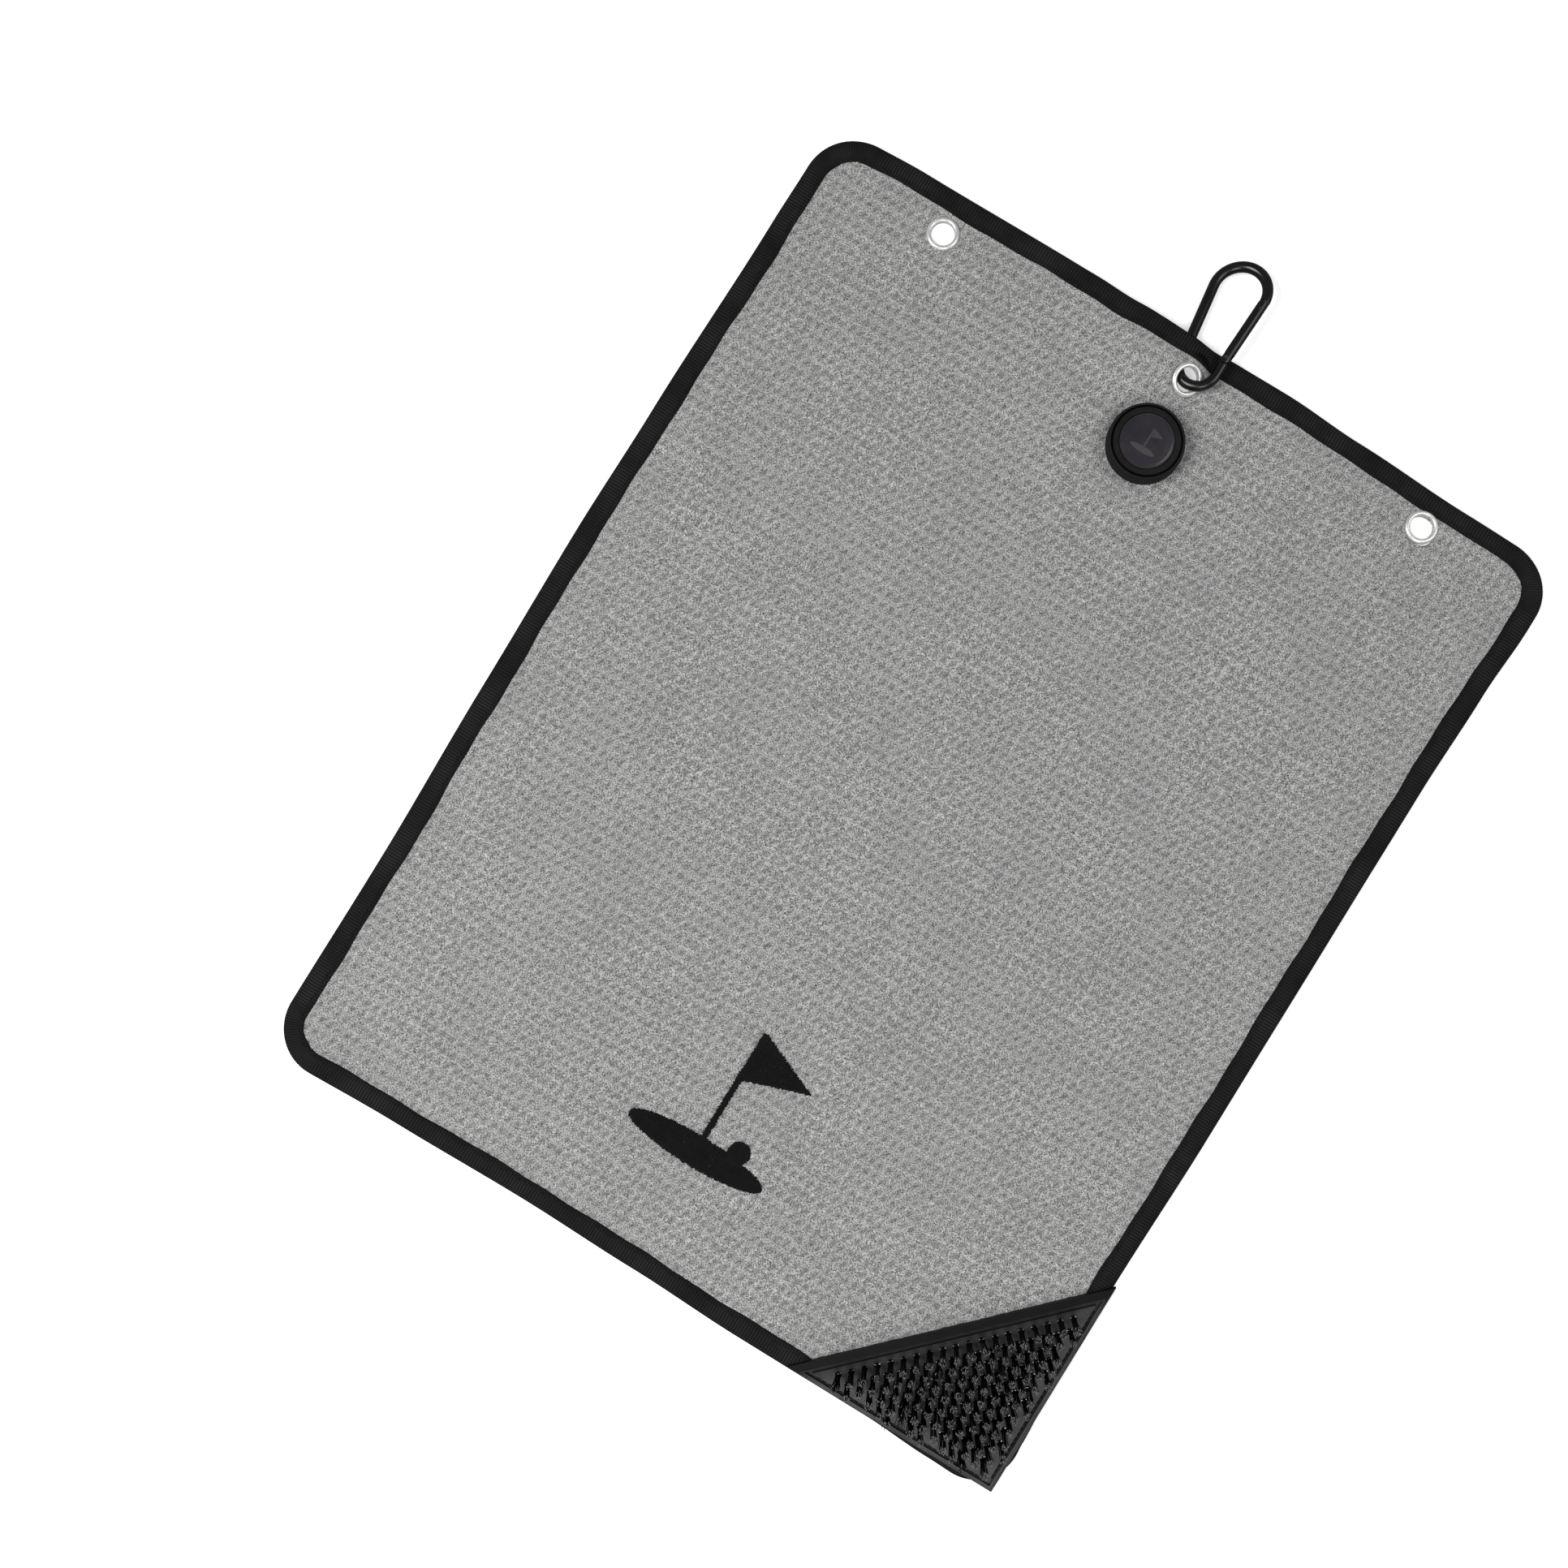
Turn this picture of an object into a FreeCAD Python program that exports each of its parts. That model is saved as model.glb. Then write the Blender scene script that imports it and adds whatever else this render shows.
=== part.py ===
import FreeCAD, Part
import math
import os
import Sketcher

# A golf towel that lies face up: a waffle-weave sheet with a bound edge, three eyelets, a
# carabiner through the middle one, a magnetic puck with a ball marker, and a corner brush.
# Frame: millimetres, +Z up, +Y towards the eyelets, origin in the middle of the underside.

Vector = FreeCAD.Vector
Z_AXIS = Vector(0, 0, 1)
Y_AXIS = Vector(0, 1, 0)
X_AXIS = Vector(1, 0, 0)

SIZES = [
    ("towel_width", 404.0), ("towel_length", 514.0), ("corner_radius", 25.0),
    ("binding_width", 10.5), ("binding_height", 3.2), ("tape_thickness", 0.55),
    ("thread_inset", 9.1), ("thread_width", 0.5), ("thread_height", 0.25),
    # the ridge where the sheet rides over the carabiner's spine
    ("ridge_height", 9.7), ("ridge_left", -60.0), ("ridge_shoulder", -40.0),
    ("ridge_crest_left", -12.0), ("ridge_crest_right", -2.5), ("ridge_right", 14.5),
    ("ridge_start", 221.0), ("ridge_slope_end", 231.0), ("ridge_top", 241.0),
    # eyelets
    ("eyelet_line", 237.8), ("left_eyelet_x", -129.0), ("centre_eyelet_x", 5.0),
    ("right_eyelet_x", 136.0), ("eyelet_hole_radius", 5.6), ("eyelet_barrel_radius", 6.15),
    ("eyelet_flange_radius", 8.0), ("eyelet_half_height", 1.75), ("eyelet_flange_seat", 0.6),
    ("eyelet_lip", 1.0), ("washer_low", -1.35), ("washer_high", -0.9), ("washer_bore_radius", 6.2),
    ("centre_eyelet_height", 6.26), ("eyelet_lean", 27.0), ("eyelet_pitch", 8.0),
    ("eyelet_curl", 0.35), ("eyelet_curl_drop", 0.3), ("eyelet_crown_inner", 1.0),
    ("eyelet_crown_outer", 0.9), ("eyelet_crown_drop", 0.1), ("eyelet_edge_inner", 0.2),
    ("eyelet_edge_drop", 0.5), ("eyelet_edge_height", 0.15), ("eyelet_foot_flare", 0.85),
    ("eyelet_foot_round", 0.1), ("eyelet_foot_crown", 1.1), ("washer_gap", 0.03),
    ("washer_step", 0.25), ("washer_edge", 0.2),
    # carabiner, in its own plane: u across from the hole, v along from the hole
    ("clip_tilt", 16.0), ("rod_radius", 2.55), ("arm_offset", 11.2), ("foot_bend_radius", 9.25),
    ("foot_centre_v", 7.65), ("spine_lean", 7.97), ("spine_length", 40.1),
    ("crown_bend_radius", 12.8), ("nose_angle", 4.0), ("hinge_v", 16.6), ("shoulder_v", 13.55),
    ("tongue_radius", 2.2), ("tongue_thickness", 2.2), ("tongue_bore_radius", 0.87),
    ("gate_length", 31.0), ("gate_lean", 2.53), ("fork_slot", 2.8), ("fork_slot_end", 2.75),
    ("gate_bore_radius", 1.45), ("gate_bore_end", 14.0), ("hinge_pin_radius", 0.8),
    ("hinge_pin_length", 5.5), ("ear_bore_radius", 0.82), ("catch_pin_radius", 0.7),
    ("catch_pin_length", 4.6), ("catch_bore_radius", 0.72), ("catch_height", 27.6),
    ("catch_offset", 0.6), ("nose_slot_width", 2.6), ("nose_slot_start", 25.5),
    ("hook_thickness", 1.9), ("hook_start", 25.9), ("hook_mouth", 1.9), ("hook_back", 0.5),
    ("hook_front", 2.35), ("hook_overrun", 2.2), ("hook_gap", 0.3), ("nose_slot_back", 0.9),
    ("gate_bore_overlap", 0.5),
    ("plunger_radius", 1.35), ("plunger_start", 2.65), ("plunger_length", 2.8),
    ("spring_radius", 1.05), ("spring_wire_radius", 0.18), ("spring_pitch", 1.1),
    # magnetic puck
    ("puck_x", 4.2), ("puck_y", 202.0), ("back_plate_radius", 17.0), ("back_plate_height", 1.2),
    ("puck_seat", 2.2), ("puck_height", 11.6), ("ring_radius", 18.5), ("ring_top_radius", 17.7),
    ("ring_bore_radius", 16.55), ("housing_radius", 16.5), ("housing_top_radius", 16.1),
    ("housing_groove", 1.2), ("marker_seat_radius", 13.2), ("marker_seat_height", 10.0),
    ("magnet_pocket_radius", 12.0), ("magnet_pocket_top", 8.6), ("keeper_radius", 11.95),
    ("keeper_wall", 1.0), ("magnet_radius", 10.9), ("marker_radius", 12.9), ("marker_rim", 0.55),
    ("marker_rim_top", 11.55), ("marker_floor", 11.05), ("inlay_height", 0.85),
    ("screw_circle", 14.2), ("screw_radius", 1.0), ("screw_head_radius", 1.9), ("screw_tip", 7.5),
    ("ring_taper", 0.1), ("ring_taper_height", 6.0), ("ring_shoulder_out", 0.3),
    ("ring_shoulder_drop", 0.9), ("ring_round", 0.2), ("ring_round_drop", 0.15), ("ring_flat", 0.5),
    ("ring_lip", 0.1), ("housing_round", 0.25), ("seat_round", 0.15), ("screw_hole_gap", 0.02),
    ("screw_hole_extra", 0.3), ("plate_hole_gap", 0.05), ("screw_sink_gap", 0.1),
    ("screw_sink_depth", 0.85), ("screw_recess", 0.1), ("screw_head_height", 0.7),
    ("screw_slot_width", 0.4), ("screw_slot_depth", 0.35), ("keeper_gap", 0.02),
    ("keeper_rim_gap", 0.03), ("magnet_gap", 0.05), ("magnet_round", 0.3), ("marker_gap", 0.05),
    ("marker_round", 0.3), ("marker_rim_round", 0.15), ("marker_rim_inner", 0.1),
    ("inlay_gap", 0.02), ("inlay_edge_height", 0.3),
    # corner brush
    ("brush_corner_x", 199.8), ("brush_corner_y", -255.6), ("brush_leg", 112.5),
    ("brush_skirt", 2.4), ("brush_height", 4.4), ("brush_leg_bevel", 2.0),
    ("brush_long_bevel", 3.0), ("groove_leg_outer", 2.7), ("groove_leg_inner", 4.4),
    ("groove_long_outer", 3.7), ("groove_long_inner", 4.9), ("groove_depth", 1.6),
    ("first_row", 8.5), ("row_spacing", 5.4), ("tuft_pitch", 6.3), ("tuft_margin", 8.0),
    ("tuft_hole_radius", 1.55), ("tuft_hole_depth", 3.0), ("tuft_foot_radius", 1.4),
    ("tuft_tip_radius", 1.75), ("tuft_length", 20.0), ("anchor_length", 2.9),
    ("anchor_thickness", 0.4), ("anchor_height", 1.4), ("brush_stitch_pitch", 2.9),
    ("brush_stitch_length", 2.1), ("brush_stitch_radius", 0.35), ("brush_stitch_gap", 0.02),
    ("brush_stitch_start", 6.0), ("brush_stitch_stop", 12.0), ("ejector_inset", 6.4),
    ("ejector_depth", 0.25),
    # embroidered motif: a flag on a green, with a ball
    ("motif_x", -2.5), ("motif_y", -163.8), ("motif_height", 72.0), ("motif_width", 73.0),
    ("motif_thickness", 0.7), ("pole_width", 2.8), ("pennant_length", 33.0),
    ("pennant_drop", 25.0), ("green_height", 15.0), ("motif_ball_radius", 5.5),
]
RIDGE_SLOPE_SHARE = 0.72    # height of the ridge at the slope's end, as a share of its crest
RIDGE_EDGE_SHARE = 0.72     # the same at the towel's edge
RIDGE_SHOULDER_SHARE = 0.35
EDGE_CREST_SHIFT = 1.5      # how far the crest's right end moves right towards the edge
EDGE_FOOT_SHIFT = -5.0      # and how far the foot of the right slope moves
CUT_HEIGHT = 40.0           # taller than anything that is cut through
RECESS_GAP = 0.05
SCREW_SLOT_SHARE = 0.7      # of the head's radius
INLAY_DOME = ((1, 0.5), (3.5, 0.7), (7, 0.8))      # inward from the edge, height above the floor
BOTTOM_EJECTORS = (0.86, 0.43, 0.27)               # shares of the leg, from the square corner
SIDE_EJECTORS = (0.36, 0.86)
PENNANT_TIP_SHARE = 0.55    # how far down its hoist the pennant's tip is
BALL_ACROSS_SHARE = 0.5     # of the green's half width
BALL_UP_SHARE = 2.3         # of the green's half height, from the green's foot

doc = FreeCAD.newDocument("golf_towel")
sheet = doc.addObject("Spreadsheet::Sheet", "Sizes")
for row, (alias, value) in enumerate(SIZES, start=1):
    sheet.set("A%d" % row, alias)
    sheet.set("B%d" % row, str(value))
    sheet.setAlias("B%d" % row, alias)
doc.recompute()

parts = []


def size(alias):
    return float(sheet.get(alias))


def part(obj, label):
    """Marks an object as one of the towel's separate pieces."""
    obj.Label = label
    parts.append(obj)
    return obj


def bind(obj, **expressions):
    for prop, expression in expressions.items():
        obj.setExpression(prop, expression)
    return obj


def place(obj, origin, rotation=None):
    obj.Placement = FreeCAD.Placement(origin, rotation or FreeCAD.Rotation())
    return obj


def cylinder(name, radius, height, origin=Vector(), rotation=None):
    obj = doc.addObject("Part::Cylinder", name)
    bind(obj, Radius=radius, Height=height)
    return place(obj, origin, rotation)


def box(name, length, width, height, origin=Vector(), rotation=None):
    obj = doc.addObject("Part::Box", name)
    bind(obj, Length=length, Width=width, Height=height)
    return place(obj, origin, rotation)


def fuse(name, *shapes):
    obj = doc.addObject("Part::MultiFuse", name)
    obj.Shapes = list(shapes)
    return obj


def cut(name, base, tool):
    obj = doc.addObject("Part::Cut", name)
    obj.Base = base
    obj.Tool = tool
    return obj


def shape_part(label, shape):
    obj = doc.addObject("Part::Feature", label)
    obj.Shape = shape
    return part(obj, label)


def origin_plane(body, role):
    return [feature for feature in body.Origin.OriginFeatures if feature.Role == role][0]


def new_sketch(body, name, role):
    sketch = body.newObject("Sketcher::SketchObject", name)
    sketch.AttachmentSupport = [(origin_plane(body, role), "")]
    sketch.MapMode = "FlatFace"
    return sketch


def add_polygon(sketch, corners):
    """Adds a closed polygon; each corner is a pair of expressions for its distances from the origin."""
    first = sketch.GeometryCount
    count = len(corners)
    guess = [Vector(10 * math.cos(2 * math.pi * i / count), 10 * math.sin(2 * math.pi * i / count), 0)
             for i in range(count)]
    for i in range(count):
        sketch.addGeometry(Part.LineSegment(guess[i], guess[(i + 1) % count]))
    for i in range(count):
        here = first + i
        following = first + (i + 1) % count
        sketch.addConstraint(Sketcher.Constraint("Coincident", here, 2, following, 1))
    for i, (across, up) in enumerate(corners):
        for kind, expression in (("DistanceX", across), ("DistanceY", up)):
            start = guess[i].x if kind == "DistanceX" else guess[i].y
            index = sketch.addConstraint(Sketcher.Constraint(kind, -1, 1, first + i, 1, start))
            sketch.setExpression("Constraints[%d]" % index, expression)


def revolved_body(name, corners, origin, rotation=None):
    """A body turned about its own Z axis from a half section of (radius, height) corners."""
    body = doc.addObject("PartDesign::Body", name)
    sketch = new_sketch(body, name + "_section", "XZ_Plane")
    add_polygon(sketch, corners)
    turn = body.newObject("PartDesign::Revolution", name + "_turned")
    turn.Profile = sketch
    turn.ReferenceAxis = (sketch, ["V_Axis"])
    turn.Angle = 360
    doc.recompute()
    return place(body, origin, rotation)


# ---------------------------------------------------------------- sheet, binding and thread

def ridge_rows():
    """Rows of (x, y, height) points on the sheet's underside where it is lifted off the floor."""
    top = size("towel_length") / 2
    rows = []
    for y, share, along in ((size("ridge_start"), 0.0, 0.0),
                            (size("ridge_slope_end"), RIDGE_SLOPE_SHARE, 0.0),
                            (size("ridge_top"), 1.0, 0.0),
                            (top, RIDGE_EDGE_SHARE, 1.0)):
        height = share * size("ridge_height")
        stations = ((size("ridge_left"), 0.0),
                    (size("ridge_shoulder"), RIDGE_SHOULDER_SHARE),
                    (size("ridge_crest_left"), 1.0),
                    (size("ridge_crest_right") + along * EDGE_CREST_SHIFT, 1.0),
                    (size("ridge_right") + along * EDGE_FOOT_SHIFT, 0.0))
        rows.append([Vector(x, y, height * level) for x, level in stations])
    return rows


def flat_polygon(points):
    return Part.Face(Part.makePolygon(points + [points[0]]))


def lifted_patch(low, high):
    """The ridge's part of the layer between two heights above the sheet's underside."""
    rows = ridge_rows()
    lower = [[point + Vector(0, 0, low) for point in row] for row in rows]
    upper = [[point + Vector(0, 0, high) for point in row] for row in rows]
    last = len(rows[0]) - 1
    faces = []
    for j in range(len(rows) - 1):
        for i in range(last):
            for grid in (lower, upper):
                a, b = grid[j][i], grid[j][i + 1]
                c, d = grid[j + 1][i + 1], grid[j + 1][i]
                faces.append(flat_polygon([a, b, c]))
                faces.append(flat_polygon([a, c, d]))
        for i in (0, last):
            faces.append(flat_polygon([lower[j][i], lower[j + 1][i], upper[j + 1][i], upper[j][i]]))
    for j in (0, len(rows) - 1):
        for i in range(last):
            faces.append(flat_polygon([lower[j][i], lower[j][i + 1], upper[j][i + 1], upper[j][i]]))
    solid = Part.Solid(Part.Shell(faces))
    if solid.Volume < 0:
        solid.reverse()
    return solid


def patch_footprint():
    rows = ridge_rows()
    outline = [rows[0][0], rows[0][-1]] + [row[-1] for row in rows[1:]] + [rows[-1][0]]
    flat = [Vector(point.x, point.y, -CUT_HEIGHT / 2) for point in outline]
    return flat_polygon(flat).extrude(Vector(0, 0, CUT_HEIGHT))


def rounded_prism(inset, low, high):
    """The towel's outline moved in by inset, between two heights."""
    half_width = size("towel_width") / 2 - inset
    half_length = size("towel_length") / 2 - inset
    radius = size("corner_radius") - inset
    block = Part.makeBox(2 * half_width, 2 * half_length, high - low,
                         Vector(-half_width, -half_length, low))
    corners = [edge for edge in block.Edges
               if abs(edge.Vertexes[0].Point.z - edge.Vertexes[1].Point.z) > (high - low) / 2]
    return block.makeFillet(radius, corners)


def layer(inset, low, high):
    """A layer of the sheet, flat on the floor except where the ridge lifts it."""
    flat = rounded_prism(inset, low, high).cut(patch_footprint())
    trim = rounded_prism(inset, -CUT_HEIGHT / 2, CUT_HEIGHT / 2)
    return flat.fuse(lifted_patch(low, high).common(trim)).removeSplitter()


def eyelet_positions():
    y = size("eyelet_line")
    upright = FreeCAD.Rotation()
    lean = FreeCAD.Rotation(Y_AXIS, size("eyelet_lean"))
    pitch = FreeCAD.Rotation(X_AXIS, size("eyelet_pitch"))
    resting = size("eyelet_half_height")
    return {"left": (Vector(size("left_eyelet_x"), y, resting), upright),
            "centre": (Vector(size("centre_eyelet_x"), y, size("centre_eyelet_height")),
                       lean.multiply(pitch)),
            "right": (Vector(size("right_eyelet_x"), y, resting), upright)}


def eyelet_clearance(origin, rotation):
    """Everything that an eyelet and its washer push out of the cloth."""
    flange = size("eyelet_flange_radius") + RECESS_GAP
    above = Part.makeCylinder(flange, CUT_HEIGHT / 2, Vector(0, 0, size("eyelet_flange_seat")))
    below = Part.makeCylinder(flange, CUT_HEIGHT / 2, Vector(0, 0, size("washer_high") - CUT_HEIGHT / 2))
    barrel = Part.makeCylinder(size("eyelet_barrel_radius") + RECESS_GAP, CUT_HEIGHT,
                               Vector(0, 0, -CUT_HEIGHT / 2))
    tool = above.fuse([below, barrel])
    tool.Placement = FreeCAD.Placement(origin, rotation)
    return tool


def puck_clearance():
    """Everything that the puck, its back plate and its screws push out of the cloth."""
    centre = Vector(size("puck_x"), size("puck_y"), 0)
    plate = Part.makeCylinder(size("back_plate_radius") + RECESS_GAP, size("back_plate_height"), centre)
    puck = Part.makeCylinder(size("ring_radius") + RECESS_GAP, CUT_HEIGHT,
                             centre + Vector(0, 0, size("puck_seat")))
    holes = [Part.makeCylinder(size("screw_radius") + RECESS_GAP, CUT_HEIGHT, point)
             for point in screw_points()]
    return plate.fuse([puck] + holes)


def screw_points():
    centre = Vector(size("puck_x"), size("puck_y"), 0)
    reach = size("screw_circle")
    angles = [math.radians(90 + 120 * i) for i in range(3)]
    return [centre + Vector(reach * math.cos(a), reach * math.sin(a), 0) for a in angles]


def make_towel_cloth():
    tape = size("tape_thickness")
    core_top = size("binding_height") - tape
    shape = layer(tape, tape, core_top).fuse(layer(size("binding_width"), 0, tape)).removeSplitter()
    for origin, rotation in eyelet_positions().values():
        shape = shape.cut(eyelet_clearance(origin, rotation))
    shape_part("towel_cloth", shape.cut(puck_clearance()))


def make_edge_binding():
    """Tape folded round the cloth's edge: a closed ring with the cloth's edge inside it."""
    tape = size("tape_thickness")
    height = size("binding_height")
    shape = layer(0, 0, height).cut(layer(size("binding_width"), 0, height))
    shape_part("edge_binding", shape.cut(layer(tape, tape, height - tape)))


def brush_prism(low, high, grow):
    """The brush's outline, grown a little, between two heights."""
    leg = size("brush_leg") + grow * (2 + math.sqrt(2))
    corner = Vector(size("brush_corner_x") + grow, size("brush_corner_y") - grow, low)
    points = [corner, corner + Vector(0, leg, 0), corner + Vector(-leg, 0, 0)]
    return flat_polygon(points).extrude(Vector(0, 0, high - low))


def make_binding_stitching():
    """The sewn line along the binding's inner edge, which stops under the brush."""
    low = size("binding_height")
    high = low + size("thread_height")
    inset = size("thread_inset")
    ring = layer(inset, low, high).cut(layer(inset + size("thread_width"), low, high))
    shape_part("binding_stitching", ring.cut(brush_prism(0, CUT_HEIGHT, 0.2)))


# ---------------------------------------------------------------- eyelets

def make_eyelet(side, origin, rotation):
    half = "Sizes.eyelet_half_height"
    hole = "Sizes.eyelet_hole_radius"
    barrel = "Sizes.eyelet_barrel_radius"
    flange = "Sizes.eyelet_flange_radius"
    seat = "Sizes.eyelet_flange_seat"
    foot_top = "Sizes.washer_low - Sizes.washer_gap"
    foot_edge = barrel + " + Sizes.eyelet_foot_flare"
    corners = [(hole, half + " - Sizes.eyelet_lip"),
               (hole + " + Sizes.eyelet_curl", half + " - Sizes.eyelet_curl_drop"),
               (hole + " + Sizes.eyelet_crown_inner", half),
               (flange + " - Sizes.eyelet_crown_outer", half + " - Sizes.eyelet_crown_drop"),
               (flange + " - Sizes.eyelet_edge_inner", half + " - Sizes.eyelet_edge_drop"),
               (flange, seat + " + Sizes.eyelet_edge_height"),
               (flange, seat),
               (barrel, seat),
               (barrel, foot_top),
               (foot_edge, foot_top),
               (foot_edge, "-" + half + " + Sizes.eyelet_foot_round"),
               (hole + " + Sizes.eyelet_foot_crown", "-" + half),
               (hole + " + Sizes.eyelet_curl", "-" + half + " + Sizes.eyelet_curl"),
               (hole, "-" + half + " + Sizes.eyelet_lip")]
    part(revolved_body(side + "_eyelet", corners, origin, rotation), side + "_eyelet")
    bore = "Sizes.washer_bore_radius"
    washer = [(bore, "Sizes.washer_low"), (flange + " - Sizes.washer_step", "Sizes.washer_low"),
              (flange, "Sizes.washer_low + Sizes.washer_edge"), (flange, "Sizes.washer_high"),
              (bore, "Sizes.washer_high")]
    name = side + "_eyelet_washer"
    part(revolved_body(name, washer, origin, rotation), name)


# ---------------------------------------------------------------- carabiner

def clip_placement():
    origin = Vector(size("centre_eyelet_x"), size("eyelet_line"), size("centre_eyelet_height"))
    return FreeCAD.Placement(origin, FreeCAD.Rotation(Y_AXIS, -size("clip_tilt")))


def gate_placement():
    """The gate's frame in the clip's plane: origin on the hinge, Y along the gate."""
    hinge = Vector(size("arm_offset"), size("hinge_v"), 0)
    return FreeCAD.Placement(hinge, FreeCAD.Rotation(Z_AXIS, -size("gate_lean")))


def arc(centre, radius, start, end):
    """An arc between two angles in degrees, through the angle half way."""
    points = []
    for angle in (start, (start + end) / 2, end):
        turn = math.radians(angle)
        points.append(centre + Vector(radius * math.cos(turn), radius * math.sin(turn), 0))
    return Part.Arc(*points)


def rod_path():
    """Centre line of the rod: hinge arm, foot bend, leaning spine and crown bend."""
    lean = size("spine_lean")
    tilt = math.radians(lean)
    outward = Vector(-math.cos(tilt), -math.sin(tilt), 0)
    along = Vector(-math.sin(tilt), math.cos(tilt), 0)
    foot_radius = size("foot_bend_radius")
    crown_radius = size("crown_bend_radius")
    arm = size("arm_offset")
    foot_centre = Vector(arm - foot_radius, size("foot_centre_v"), 0)
    spine_foot = foot_centre + outward * foot_radius
    spine_head = spine_foot + along * size("spine_length")
    crown_centre = spine_head - outward * crown_radius
    arm_line = Part.LineSegment(Vector(arm, size("shoulder_v"), 0), Vector(arm, size("foot_centre_v"), 0))
    return [arm_line,
            arc(foot_centre, foot_radius, 0, lean - 180),
            Part.LineSegment(spine_foot, spine_head),
            arc(crown_centre, crown_radius, 180 + lean, size("nose_angle"))]


def make_rod():
    body = doc.addObject("PartDesign::Body", "rod")
    path = new_sketch(body, "rod_path", "XY_Plane")
    for piece in rod_path():
        path.addGeometry(piece)
    section = new_sketch(body, "rod_section", "XZ_Plane")
    section.AttachmentOffset = FreeCAD.Placement(Vector(0, 0, -size("shoulder_v")), FreeCAD.Rotation())
    section.addGeometry(Part.Circle(Vector(size("arm_offset"), 0, 0), Z_AXIS, size("rod_radius")))
    radius = section.addConstraint(Sketcher.Constraint("Radius", 0, size("rod_radius")))
    section.setExpression("Constraints[%d]" % radius, "Sizes.rod_radius")
    doc.recompute()
    pipe = body.newObject("PartDesign::AdditivePipe", "rod_bent")
    pipe.Profile = section
    pipe.Spine = path
    doc.recompute()
    return body


def middle_box(name, left, right, low, high, thickness):
    """A plate centred on the clip's plane; the limits are expressions."""
    obj = doc.addObject("Part::Box", name)
    bind(obj, Length="(%s) - (%s)" % (right, left), Width="(%s) - (%s)" % (high, low), Height=thickness)
    obj.setExpression("Placement.Base.x", left)
    obj.setExpression("Placement.Base.y", low)
    obj.setExpression("Placement.Base.z", "-(%s) / 2" % thickness)
    return obj


def cross_pin(name, radius, length, across, along):
    """A cylinder square to the clip's plane and centred on it."""
    obj = doc.addObject("Part::Cylinder", name)
    bind(obj, Radius=radius, Height=length)
    obj.setExpression("Placement.Base.x", across)
    obj.setExpression("Placement.Base.y", along)
    obj.setExpression("Placement.Base.z", "-(%s) / 2" % length)
    return obj


def long_rod(name, radius, start, length):
    """A cylinder along the gate."""
    obj = doc.addObject("Part::Cylinder", name)
    bind(obj, Radius=radius, Height=length)
    obj.Placement = FreeCAD.Placement(Vector(), FreeCAD.Rotation(X_AXIS, -90))
    obj.setExpression("Placement.Base.y", start)
    return obj


def common(name, first, second):
    obj = doc.addObject("Part::Common", name)
    obj.Base = first
    obj.Tool = second
    return obj


def moved_copy(label, source, placement):
    """A finished piece, taken from the clip's own frame into the towel's."""
    doc.recompute()
    shape = source.Shape.copy()
    shape.Placement = placement.multiply(shape.Placement)
    return shape_part(label, shape)


def make_carabiner_body():
    arm = "Sizes.arm_offset"
    tongue_plate = middle_box("tongue_plate", arm + " - Sizes.tongue_radius", arm + " + Sizes.tongue_radius",
                              "Sizes.shoulder_v - 1", "Sizes.hinge_v", "Sizes.tongue_thickness")
    tongue_end = cross_pin("tongue_end", "Sizes.tongue_radius", "Sizes.tongue_thickness",
                           arm, "Sizes.hinge_v")
    hook_plate = middle_box("hook_plate", "-Sizes.hook_back", "Sizes.hook_front", "Sizes.hook_start",
                            "Sizes.gate_length + Sizes.hook_overrun", "Sizes.hook_thickness")
    hook_mouth = middle_box("hook_mouth", "-Sizes.hook_back * 2",
                            "Sizes.catch_offset + Sizes.catch_pin_radius + Sizes.hook_gap",
                            "Sizes.catch_height - Sizes.hook_mouth / 2",
                            "Sizes.catch_height + Sizes.hook_mouth / 2", "Sizes.rod_radius * 2")
    hook = cut("hook", hook_plate, hook_mouth)
    hook.Placement = gate_placement()
    solid = fuse("rod_with_ends", make_rod(), tongue_plate, tongue_end, hook)
    bore = cross_pin("tongue_bore", "Sizes.tongue_bore_radius", "Sizes.rod_radius * 2", arm, "Sizes.hinge_v")
    moved_copy("carabiner_body", cut("drilled_rod", solid, bore), clip_placement())


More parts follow.
